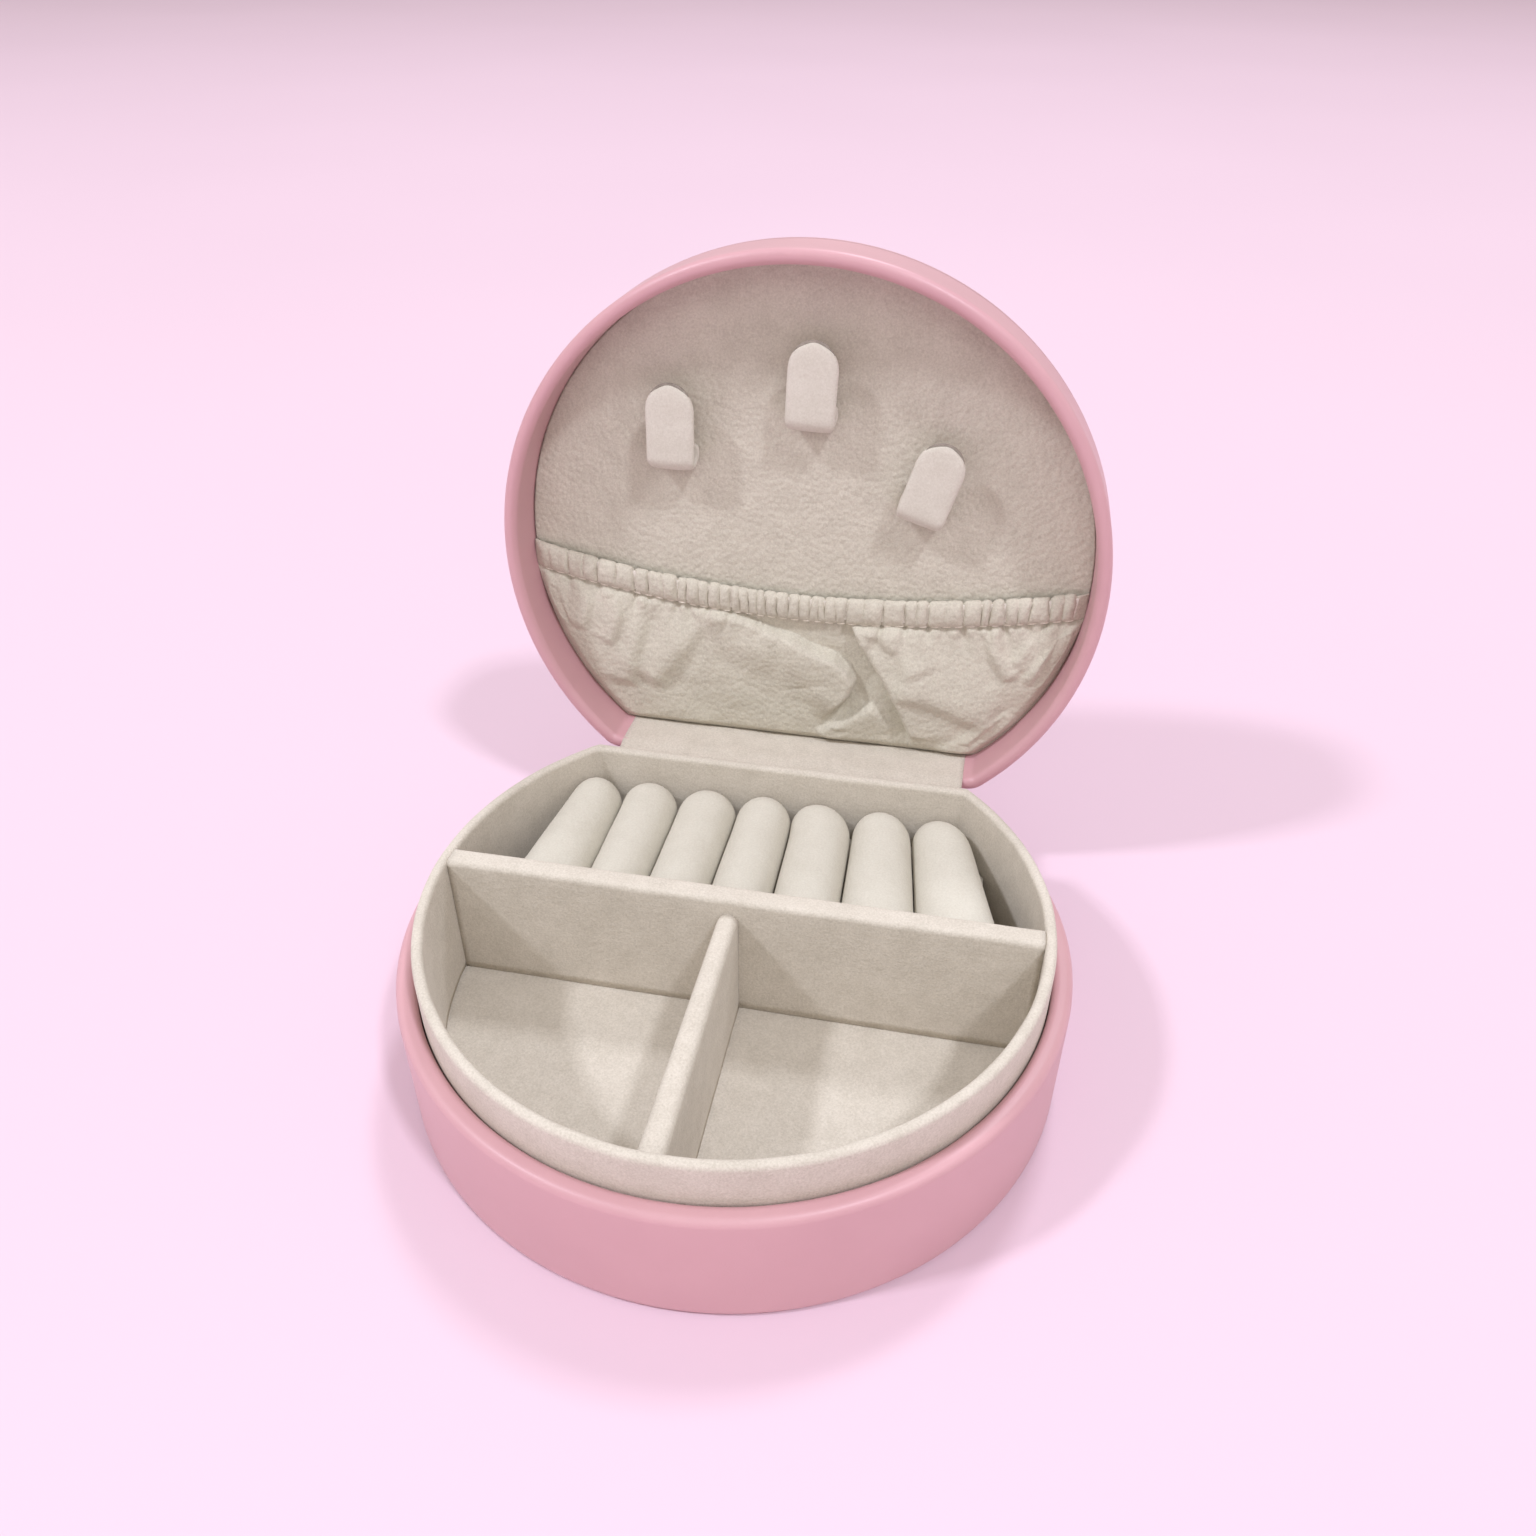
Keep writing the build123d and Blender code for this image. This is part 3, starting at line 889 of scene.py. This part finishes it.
# Lips where the slack cloth laps over itself: points on the closed lid, which side stands proud,
# height of the lip, width of its edge, how far it runs out, and how deep the cloth dips beside it
POUCH_LIPS = (
    (((-20.5, 12.6), (-13.8, 13.7), (-9.2, 15.4), (-5.8, 16.7), (-1.6, 17.8), (2.6, 19.8), (7.7, 21.3),
      (10.7, 23.6), (12.1, 26.4), (10.9, 30.2), (8.3, 33.4), (5.0, 37.2)), -1, 1.7, 0.32, 17.0, 2.3),
    (((10.0, 12.6), (13.3, 18.6), (18.8, 26.3), (21.7, 31.7), (24.7, 38.1), (25.6, 42.0)),
     1, 1.8, 0.45, 9.0, 1.6),
    (((16.5, 31.0), (12.5, 34.5), (8.5, 37.4), (4.0, 40.2)), 1, 1.3, 0.55, 5.0, 0.5),
    (((11.4, 13.0), (16.0, 15.6), (20.7, 18.7), (23.2, 24.5)), 1, 1.0, 1.2, 8.0, 0.3),
    (((20.0, 28.2), (26.5, 29.2), (31.0, 30.9), (42.0, 35.0)), 1, 1.5, 1.9, 9.0, 0.5),
    (((-15.5, 11.8), (-21.9, 20.0), (-26.4, 26.2), (-31.5, 34.0)), -1, 1.7, 1.9, 8.0, 0.6),
    (((-30.8, 11.5), (-33.6, 20.4), (-35.2, 25.3), (-36.3, 34.0)), -1, 1.5, 1.5, 6.0, 0.6),
    (((-39.4, 10.0), (-38.1, 16.3), (-40.6, 24.0)), -1, 1.0, 1.1, 4.0, 0.5),
    (((36.5, 11.0), (39.5, 17.0), (43.5, 23.0)), 1, 1.1, 1.1, 5.0, 0.5),
    (((55.0, 8.5), (50.6, 15.1), (46.0, 22.0)), 1, 0.9, 0.7, 2.6, 0.4),
    (((50.5, 9.0), (46.6, 13.6), (43.6, 18.5)), 1, 0.8, 0.7, 2.6, 0.3),
    (((30.0, 42.0), (36.5, 37.0), (45.0, 29.0)), -1, 0.9, 1.2, 5.0, 0.3),
    (((-46.8, 8.5), (-45.0, 14.5), (-47.0, 21.0)), -1, 0.8, 0.9, 3.5, 0.3),
)
# Hollows where slack cloth falls in: middle, half sizes and depth
POUCH_HOLLOWS = (
    ((-1.0, 16.5), (9.0, 2.6), 0.5),
    ((14.5, 24.5), (2.6, 4.5), 0.8),
    ((-22.5, 15.0), (2.6, 4.0), 0.9),
    ((-33.0, 16.0), (2.2, 4.0), 0.7),
    ((31.0, 15.5), (3.0, 3.5), 0.6),
    ((44.0, 14.0), (2.5, 4.0), 0.5),
)


def smooth_step(share):
    share = np.clip(share, 0.0, 1.0)
    return share * share * (3 - 2 * share)


def ripple_field(x, y, size, seed):
    """The ripple of every point of a grid."""
    values = [ripple(px, py, 0.0, size, seed) for px, py in zip(x.ravel(), y.ravel())]
    return np.array(values).reshape(x.shape)


def lip_height(x, y, points, side, height, edge, run_out, dip):
    """Height that one lip adds to the cloth at every point of a grid."""
    points = np.array(points)
    steps = np.diff(points, axis=0)
    lengths = np.hypot(steps[:, 0], steps[:, 1])
    total = lengths.sum()
    best = np.full(x.shape, 1e9)
    signed = np.zeros(x.shape)
    place = np.zeros(x.shape)
    start = 0.0
    for (px, py), (dx, dy), length in zip(points[:-1], steps, lengths):
        along = np.clip(((x - px) * dx + (y - py) * dy) / length ** 2, 0.0, 1.0)
        off_x = x - px - along * dx
        off_y = y - py - along * dy
        distance = np.hypot(off_x, off_y)
        nearer = distance < best
        best = np.where(nearer, distance, best)
        signed = np.where(nearer, distance * np.sign(off_x * dy - off_y * dx) * side, signed)
        place = np.where(nearer, (start + along * length) / total, place)
        start += length
    proud = 0.5 * (1 + np.tanh(signed / edge))
    rise = proud * height * np.exp(-np.maximum(signed, 0) / run_out)
    fall = (1 - proud) * dip * np.exp(-np.maximum(-signed, 0) / 3.0)
    ends = smooth_step(place / 0.10) * smooth_step((1 - place) / 0.14)
    beyond = np.exp(-((best / 9.0) ** 4))
    return LIP_STRENGTH * (rise - fall) * ends * beyond


def hem_puff(x, facing):
    """How full the hem is at each x, from 1 in the middle of a puff; facing is 1 in front, -1 behind."""
    rng = np.random.default_rng(5)
    places = np.array([place for place, strength in HEM_PUCKERS])
    strengths = np.array([strength for place, strength in HEM_PUCKERS])
    strengths = strengths * np.clip(0.8 + 0.45 * rng.uniform(-1, 1, len(places)) * facing, 0.15, 1.0)
    fullness = rng.uniform(0.72, 1.08, len(places) + 1)
    right = np.clip(np.searchsorted(places, x), 1, len(places) - 1)
    left = right - 1
    gap = places[right] - places[left]
    share = np.clip((x - places[left]) / gap, 0.0, 1.0)
    nearest = np.where(share < 0.5, share, 1 - share) * 2
    strength = np.where(share < 0.5, strengths[left], strengths[right])
    reach = np.minimum(nearest * gap / 2 / PUCKER_REACH, 1.0)
    full = 1 - (1 - fullness[right]) * smooth_step(nearest)
    slot = np.exp(-((nearest * gap / 2 / PUCKER_HALF_WIDTH) ** 2))
    return full * (1 - strength * (0.35 * (1 - reach) ** 1.6 + 0.65 * slot))


def hem_radii(x):
    """Height of the hem's top edge on the lid at each x."""
    half = POCKET_HIGH[0]
    radius = (half ** 2 + HEM_SAG ** 2) / (2 * HEM_SAG)
    return POCKET_LOW[1] + HEM_SAG - radius + np.sqrt(radius ** 2 - x ** 2)


def pocket_grid(depth):
    """The pocket's cloth as a grid: round the hem's casing first, then down the pouch to its edge."""
    half = math.sqrt((CASE_RADIUS - LINER_INSET) ** 2 - 3.0 ** 2)
    inset = LINER_INSET - 0.25
    # Columns stand closer together at the puckers, which are narrow
    even = np.linspace(-half, half, 4001)
    crowding = 1 + sum(
        PUCKER_CROWDING * np.exp(-(((even - place) / 0.7) ** 2)) for place, strength in HEM_PUCKERS
    )
    passed = np.concatenate([[0.0], np.cumsum(crowding[1:] + crowding[:-1])])
    x = np.interp(np.linspace(0, passed[-1], POUCH_COLUMNS + 1), passed, even)
    wander = 0.6 * ripple_field(x, 0 * x, 4.0, 3.0)
    top_y = hem_radii(x)
    ends = smooth_step((half - np.abs(x)) / 2.5 + 0.15)
    rows = []
    for row in range(CASING_ROWS + 1):
        turn = math.radians(218 - 210 * row / CASING_ROWS)
        puff = hem_puff(x + wander * math.cos(turn), math.cos(turn))
        reach = HEM_HEIGHT / 2 - (0.85 * (1 - puff) if math.cos(turn) < 0 else 0.0)
        thick = (0.10 + 1.25 * puff) * (0.35 + 0.65 * ends)
        height = HEM_MIDDLE_HEIGHT * (0.5 + 0.5 * ends) + thick * math.sin(turn)
        if math.sin(turn) > 0:
            height = height - depth * 0.65 * (1 - puff) * math.sin(turn)
        shift = 0.25 * ripple_field(x, 0 * x + 3 * math.cos(turn), 2.2, 6.0)
        row_y = top_y + HEM_HEIGHT / 2 + reach * math.cos(turn)
        rows.append((x + shift * ends, row_y, np.maximum(height, 0.3)))
    start_y = rows[-1][1]
    start_z = rows[-1][2]
    radius = CASE_RADIUS - inset
    end_y = np.minimum(BACK_Y - inset, np.sqrt(np.maximum(radius ** 2 - x ** 2, 0.0)))
    end_y = np.maximum(end_y, start_y + 0.4)
    share = np.linspace(0, 1, POUCH_ROWS + 1)[1:, None]
    grid_x = np.repeat(x[None, :], POUCH_ROWS, axis=0)
    grid_y = start_y + (end_y - start_y) * share
    down = grid_y - start_y
    up = end_y - grid_y
    wall = radius - np.hypot(grid_x, grid_y)
    height = 1.6 + 1.2 * np.sin(np.pi * np.clip(share, 0, 1) ** 0.8)
    for (middle_x, middle_y), (half_x, half_y), dip in POUCH_HOLLOWS:
        off = ((grid_x - middle_x) / half_x) ** 2 + ((grid_y - middle_y) / half_y) ** 2
        height = height - dip * np.exp(-off)
    for lip in POUCH_LIPS:
        height = height + lip_height(grid_x, grid_y, *lip) * smooth_step(down / 2.5 + 0.2)
    rng = np.random.default_rng(11)
    for place, strength in HEM_PUCKERS:
        run = 2.0 + 5.0 * rng.random() * strength
        slope = rng.normal(0, 0.20)
        off = grid_x - place - slope * down
        width = 0.55 + 0.24 * down
        height = height - 1.9 * depth * strength * np.exp(-down / run) * np.exp(-((off / width) ** 2))
    height = height + 0.40 * ripple_field(grid_x, grid_y, 9.0, 3.3)
    height = height + 0.14 * ripple_field(grid_x, grid_y, 3.4, 7.7)
    height = height - 0.9 * np.exp(-((down / 0.8) ** 2))
    height = height * (0.25 + 0.75 * smooth_step(up / 1.8)) * (0.40 + 0.60 * smooth_step(wall / 2.6))
    collar_edge = np.minimum(CASE_RADIUS - np.hypot(grid_x, grid_y), BACK_Y - grid_y)
    room = 2.7 + np.clip(collar_edge - TRAY_INSET - 0.6, 0, 3)
    height = np.minimum(height, room - 0.25 * np.exp(-np.abs(height - room) * 2))
    start = smooth_step(down / 0.6)
    height = start_z * (1 - start) + np.maximum(height, 0.3) * start
    grid = np.empty((CASING_ROWS + 1 + POUCH_ROWS, POUCH_COLUMNS + 1, 3))
    for row, (row_x, row_y, row_z) in enumerate(rows):
        grid[row, :, 0], grid[row, :, 1], grid[row, :, 2] = row_x, row_y, LINER_Z - row_z
    grid[CASING_ROWS + 1:, :, 0] = grid_x
    grid[CASING_ROWS + 1:, :, 1] = grid_y
    grid[CASING_ROWS + 1:, :, 2] = LINER_Z - height
    return grid


class CASE_OT_pocket(CaseOperator, bpy.types.Operator):
    """Gathered velvet pocket with its elastic hem"""

    bl_idname = "case.pocket"
    bl_label = "Pocket"

    def build(self, context):
        grid = pocket_grid(context.scene.case_sizes.pucker_depth)
        rows, columns = grid.shape[:2]
        piece = make_object(
            "velvet_pocket", grid.reshape(-1, 3), grid_faces(rows, columns), opened=True, outward=False,
        )
        shell = piece.modifiers.new("Velvet thickness", "SOLIDIFY")
        shell.thickness = 0.35 * MM
        shell.offset = 0.0
        settle(piece, "lid", "lining_velvet", finish_of("velvet_lining"), "pocket_velvet")


def cloth_size(grid):
    """Flat width, length and area in metres of a gridded cloth, from its own threads."""
    grid = grid * MM
    across = np.linalg.norm(np.diff(grid, axis=1), axis=2).sum(1)
    down = np.linalg.norm(np.diff(grid, axis=0), axis=2).sum(0)
    a = grid[1:, :-1] - grid[:-1, :-1]
    b = grid[:-1, 1:] - grid[:-1, :-1]
    area = float(np.linalg.norm(np.cross(a, b), axis=2).sum())
    return float(across.max()), float(max(down.max(), area / across.max())), area


class CASE_OT_pocket_stitches(CaseOperator, bpy.types.Operator):
    """Lockstitch thread along the hem, laid out by a Geometry Nodes tree"""

    bl_idname = "case.pocket_stitches"
    bl_label = "Pocket stitches"

    def build(self, context):
        sizes = context.scene.case_sizes
        seam = pocket_grid(sizes.pucker_depth)[CASING_ROWS]
        seam = seam[np.abs(seam[:, 0]) < POCKET_HIGH[0] - 2.5] + np.array((0.0, 0.15, -0.2))
        steps = len(seam) - 1
        points = seam
        turned = turn_about_hinge(points, OPEN_ANGLE) * MM
        mesh = bpy.data.meshes.new("thread_line")
        mesh.from_pydata(turned.tolist(), [(i, i + 1) for i in range(steps)], [])
        line = bpy.data.objects.new("thread_line", mesh)
        context.scene.collection.objects.link(line)
        tree = stitch_tree()
        modifier = line.modifiers.new("Stitches", "NODES")
        modifier.node_group = tree
        values = {
            "Stitch Spacing": sizes.stitch_length * MM,
            "Stitch Length": sizes.stitch_length * 0.74 * MM,
            "Thread Radius": 0.17 * MM,
            "Seed": 5,
            "Material": finish_of("thread_polyester_spun"),
        }
        for item in tree.interface.items_tree:
            if item.item_type == "SOCKET" and item.in_out == "INPUT" and item.name in values:
                modifier[item.identifier] = values[item.name]
        piece = baked(line, "thread_pocket_hem")
        settle(piece, "lid", "thread", finish_of("thread_polyester_spun"), "pocket_thread")


def baked(source, name):
    """A plain mesh object of what the source's modifiers make; the source is removed."""
    bpy.context.view_layer.update()
    graph = bpy.context.evaluated_depsgraph_get()
    mesh = bpy.data.meshes.new_from_object(source.evaluated_get(graph))
    mesh.name = name
    piece = bpy.data.objects.new(name, mesh)
    bpy.context.scene.collection.objects.link(piece)
    bpy.data.objects.remove(source)
    return piece


def stitch_tree():
    """Stitches laid end to end along a line: short fat threads with a little unevenness."""
    tree = bpy.data.node_groups.new("Stitch row", "GeometryNodeTree")
    face = tree.interface
    face.new_socket("Geometry", in_out="INPUT", socket_type="NodeSocketGeometry")
    for name in ("Stitch Spacing", "Stitch Length", "Thread Radius"):
        face.new_socket(name, in_out="INPUT", socket_type="NodeSocketFloat")
    face.new_socket("Seed", in_out="INPUT", socket_type="NodeSocketInt")
    face.new_socket("Material", in_out="INPUT", socket_type="NodeSocketMaterial")
    face.new_socket("Geometry", in_out="OUTPUT", socket_type="NodeSocketGeometry")
    given = tree.nodes.new("NodeGroupInput").outputs
    curve = tree_node(tree, "GeometryNodeMeshToCurve", Mesh=given["Geometry"])
    placed = tree_node(
        tree, "GeometryNodeCurveToPoints", {"mode": "LENGTH"},
        Curve=curve.outputs["Curve"], Length=given["Stitch Spacing"],
    )
    thread = tree_node(
        tree, "GeometryNodeMeshUVSphere", Segments=8, Rings=6, Radius=given["Thread Radius"],
    )
    stretch = tree_node(
        tree, "ShaderNodeMath", {"operation": "DIVIDE"}, i0=given["Stitch Length"], i1=given["Thread Radius"],
    )
    halved = tree_node(
        tree, "ShaderNodeMath", {"operation": "MULTIPLY"}, i0=stretch.outputs["Value"], i1=0.5,
    )
    uneven = tree_node(
        tree, "FunctionNodeRandomValue", {"data_type": "FLOAT"}, i2=0.8, i3=1.05, Seed=given["Seed"],
    )
    long_way = tree_node(
        tree, "ShaderNodeMath", {"operation": "MULTIPLY"}, i0=halved.outputs["Value"], i1=uneven.outputs[1],
    )
    size = tree_node(tree, "ShaderNodeCombineXYZ", X=1.0, Y=1.0, Z=long_way.outputs["Value"])
    stitches = tree_node(
        tree, "GeometryNodeInstanceOnPoints", Points=placed.outputs["Points"],
        Instance=thread.outputs["Mesh"], Rotation=placed.outputs["Rotation"], Scale=size.outputs["Vector"],
    )
    solid = tree_node(tree, "GeometryNodeRealizeInstances", Geometry=stitches.outputs["Instances"])
    smooth = tree_node(tree, "GeometryNodeSetShadeSmooth", Geometry=solid.outputs["Geometry"])
    dressed = tree_node(
        tree, "GeometryNodeSetMaterial", Geometry=smooth.outputs["Geometry"], Material=given["Material"],
    )
    out = tree.nodes.new("NodeGroupOutput")
    tree.links.new(dressed.outputs["Geometry"], out.inputs["Geometry"])
    return tree


# ---------------------------------------------------------------- hinge

def strip(name, line, half_width, thickness, columns, soften=None):
    """A cloth or leather strip across the case: a line of (y, z) points, carried along X."""
    points = []
    for y, z in line:
        for column in range(columns + 1):
            x = -half_width + 2 * half_width * column / columns
            point = (x, y, z)
            points.append(soften(point) if soften else point)
    faces = grid_faces(len(line), columns + 1)
    piece = make_object(name, points, faces, outward=False)
    shell = piece.modifiers.new("Thickness", "SOLIDIFY")
    shell.thickness = thickness * MM
    shell.offset = 0.0
    return piece, points


def opened_spot(y, z):
    """Where a (y, z) spot of the closed lid lies when the lid is open."""
    return tuple(turn_about_hinge([(0.0, y, z)], OPEN_ANGLE)[0][1:])


class CASE_OT_hinge(CaseOperator, bpy.types.Operator):
    """Velvet hinge strip inside and leather hinge strip outside, bending between base and lid"""

    bl_idname = "case.hinge"
    bl_label = "Hinge strips"

    def build(self, context):
        velvet = velvet_hinge()
        velvet.data.materials.append(finish_of("velvet_over_board"))
        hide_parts("hinge_velvet")
        leather = leather_hinge()
        leather.data.materials.append(finish_of("leather_coated_satin"))
        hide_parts("hinge_leather")
        lid_rim_y = opened_spot(BACK_Y, LID_LOW[2] + 0.3)[0]
        for piece in (velvet, leather):
            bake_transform(piece)


def velvet_hinge():
    """From behind the collar, over both rims, along the inside of the lid's back to the liner."""
    face = BACK_Y - LID_WALL + LEATHER - 0.3
    start_y = BACK_Y - COLLAR_INSET + 0.12
    near = opened_spot(face, LID_LOW[2] + 0.4)
    far = opened_spot(face, LINER_Z - 0.1)
    line = [
        (start_y, BASE_RIM_Z + 1.6), (start_y + 0.1, BASE_RIM_Z + 0.9), (start_y + 0.7, BASE_RIM_Z + 0.45),
    ]
    line += [(start_y + 1.6 + 2.2 * step, BASE_RIM_Z + 0.35) for step in range(2)]
    last_y, last_z = line[-1]
    for step in range(1, 9):
        share = step / 8
        sag = -0.5 * math.sin(math.pi * share)
        line.append((last_y + (near[0] - last_y) * share, last_z + (near[1] - last_z) * share + sag))
    for step in range(1, 13):
        share = step / 12
        line.append((near[0] + (far[0] - near[0]) * share, near[1] + (far[1] - near[1]) * share))

    def soften(point):
        x, y, z = point
        return (x, y, z + 0.12 * ripple(x, y, 0, 6.0, 8.0))

    piece, points = strip("velvet_hinge_strip", line, HINGE_HALF_WIDTH, 0.45, 60, soften)
    width, length = cloth_size(np.array(points).reshape(len(line), 61, 3))[:2]
    return piece


def leather_hinge():
    """Up the back of the base, round the bend and along the back of the lid."""
    low = node_box("hinge_leather")[0]
    strip_y = low[1] + LEATHER / 2
    rim_y, rim_z = opened_spot(strip_y, LID_LOW[2])
    bend = 6.4
    end_y = strip_y + bend * (1 - math.cos(OPEN_ANGLE))
    bend_z = rim_z - bend * math.sin(OPEN_ANGLE) + (end_y - rim_y) / math.tan(OPEN_ANGLE)
    line = [(strip_y, low[2] + (bend_z - low[2]) * step / 8) for step in range(8)]
    for step in range(17):
        turn = OPEN_ANGLE * step / 16
        line.append((strip_y + bend * (1 - math.cos(turn)), bend_z + bend * math.sin(turn)))
    tail = opened_spot(strip_y, LID_HIGH[2])
    start = line[-1]
    for step in range(1, 9):
        line.append((start[0] + (tail[0] - start[0]) * step / 8, start[1] + (tail[1] - start[1]) * step / 8))
    return strip("leather_hinge_strip", line, HINGE_HALF_WIDTH, LEATHER, 40)[0]


# ---------------------------------------------------------------- hidden pieces and stage

class CASE_OT_inner_parts(CaseOperator, bpy.types.Operator):
    """Finishes for the boards, foam, elastic and bottom leather that keep their CAD shape"""

    bl_idname = "case.inner_parts"
    bl_label = "Inner parts"

    def build(self, context):
        for name, node in frame["nodes"].items():
            if "leather" in name:
                finish = "leather_coated_satin"
            elif "velvet" in name:
                finish = "velvet_lining"
            elif "foam" in name:
                finish = "foam_cut"
            elif "elastic" in name:
                finish = "elastic_woven"
            elif "thread" in name:
                finish = "thread_polyester_spun"
            else:
                finish = "board_grey_pressed"
            node.data.materials.clear()
            node.data.materials.append(finish_of(finish))


def soft_light(name, place, target, size, power, colour):
    data = bpy.data.lights.new(name, "AREA")
    data.shape = "RECTANGLE"
    data.size, data.size_y = size
    data.energy = power
    data.color = linear(colour)[:3]
    lamp = bpy.data.objects.new(name, data)
    lamp.location = place
    lamp.rotation_euler = (Vector(target) - Vector(place)).to_track_quat("-Z", "Y").to_euler()
    bpy.context.scene.collection.objects.link(lamp)


class CASE_OT_stage(CaseOperator, bpy.types.Operator):
    """Pale floor, soft studio light and the camera"""

    bl_idname = "case.stage"
    bl_label = "Stage"

    def build(self, context):
        mesh = bpy.data.meshes.new("floor_pale")
        far = 3.0
        mesh.from_pydata([(-far, -far, 0), (far, -far, 0), (far, far, 0), (-far, far, 0)], [], [(0, 1, 2, 3)])
        floor = bpy.data.objects.new("floor_pale", mesh)
        context.scene.collection.objects.link(floor)
        paint = new_material("floor_painted_matt")
        place = add_node(paint, "ShaderNodeTexCoord").outputs["Object"]
        tone = add_node(paint, "ShaderNodeTexNoise", Vector=place, Scale=3.0, Detail=1.0)
        colour = ramp(paint, tone.outputs["Fac"], [(0.3, "#DABFCD"), (0.7, "#DCC1CF")])
        shader = add_node(paint, "ShaderNodeBsdfPrincipled", Base_Color=colour, Roughness=0.7)
        add_node(paint, "ShaderNodeOutputMaterial", Surface=shader.outputs["BSDF"])
        mesh.materials.append(paint)

        world = bpy.data.worlds.new("studio")
        world.use_nodes = True
        backdrop = world.node_tree.nodes["Background"]
        backdrop.inputs["Color"].default_value = linear("#F6EEEA")
        backdrop.inputs["Strength"].default_value = 0.66
        context.scene.world = world
        context.scene.view_settings.view_transform = "Standard"

        middle = (0.0, 0.0, 0.03)
        soft_light("left_softbox", (-1.86, -0.95, 2.40), middle, (0.26, 0.26), 42.0, "#F0F3FF")
        soft_light("right_softbox", (1.20, -0.95, 2.60), middle, (0.26, 0.26), 36.0, "#F0F3FF")
        soft_light("back_softbox", (0.25, 1.45, 2.70), middle, (0.45, 0.45), 30.0, "#F0F3FF")
        soft_light("front_softbox", (0.3, -3.0, 2.1), middle, (1.8, 1.2), 17.0, "#FAFAFF")

        lens = bpy.data.cameras.new("camera")
        lens.lens = 28.77
        lens.sensor_width = 36.0
        lens.clip_start = 0.01
        camera = bpy.data.objects.new("camera", lens)
        camera.location = (0.03621, -0.15782, 0.17893)
        turn_left = Matrix.Rotation(math.radians(10.97), 4, "Z")
        look_down = Matrix.Rotation(math.radians(90 - 36.24), 4, "X")
        roll = Matrix.Rotation(math.radians(0.46), 4, "Z")
        camera.matrix_world = Matrix.Translation(camera.location) @ turn_left @ look_down @ roll
        context.scene.collection.objects.link(camera)
        context.scene.camera = camera


# ---------------------------------------------------------------- add-on

OPERATORS = (
    CASE_OT_inner_parts,
    CASE_OT_base_leather,
    CASE_OT_collar,
    CASE_OT_tray_floor,
    CASE_OT_dividers,
    CASE_OT_ring_rolls,
    CASE_OT_lid_leather,
    CASE_OT_liner,
    CASE_OT_hooks,
    CASE_OT_pocket,
    CASE_OT_pocket_stitches,
    CASE_OT_hinge,
    CASE_OT_stage,
)


class CASE_PT_panel(bpy.types.Panel):
    """Buttons for every piece of the jewellery case"""

    bl_idname = "CASE_PT_panel"
    bl_label = "Jewellery case"
    bl_space_type = "VIEW_3D"
    bl_region_type = "UI"
    bl_category = "Jewellery case"

    def draw(self, context):
        for group in (context.scene.case_sizes, context.scene.case_colours):
            for name in group.__annotations__:
                self.layout.prop(group, name)
        for operator in OPERATORS:
            self.layout.operator(operator.bl_idname)


CLASSES = (CaseSizes, CaseColours, *OPERATORS, CASE_PT_panel)


def register():
    for item in CLASSES:
        bpy.utils.register_class(item)
    bpy.types.Scene.case_sizes = bpy.props.PointerProperty(type=CaseSizes)
    bpy.types.Scene.case_colours = bpy.props.PointerProperty(type=CaseColours)


def unregister():
    del bpy.types.Scene.case_sizes
    del bpy.types.Scene.case_colours
    for item in reversed(CLASSES):
        bpy.utils.unregister_class(item)


def main():
    register()
    for operator in OPERATORS:
        group, name = operator.bl_idname.split(".")
        getattr(getattr(bpy.ops, group), name)()


if __name__ == "__main__":
    main()
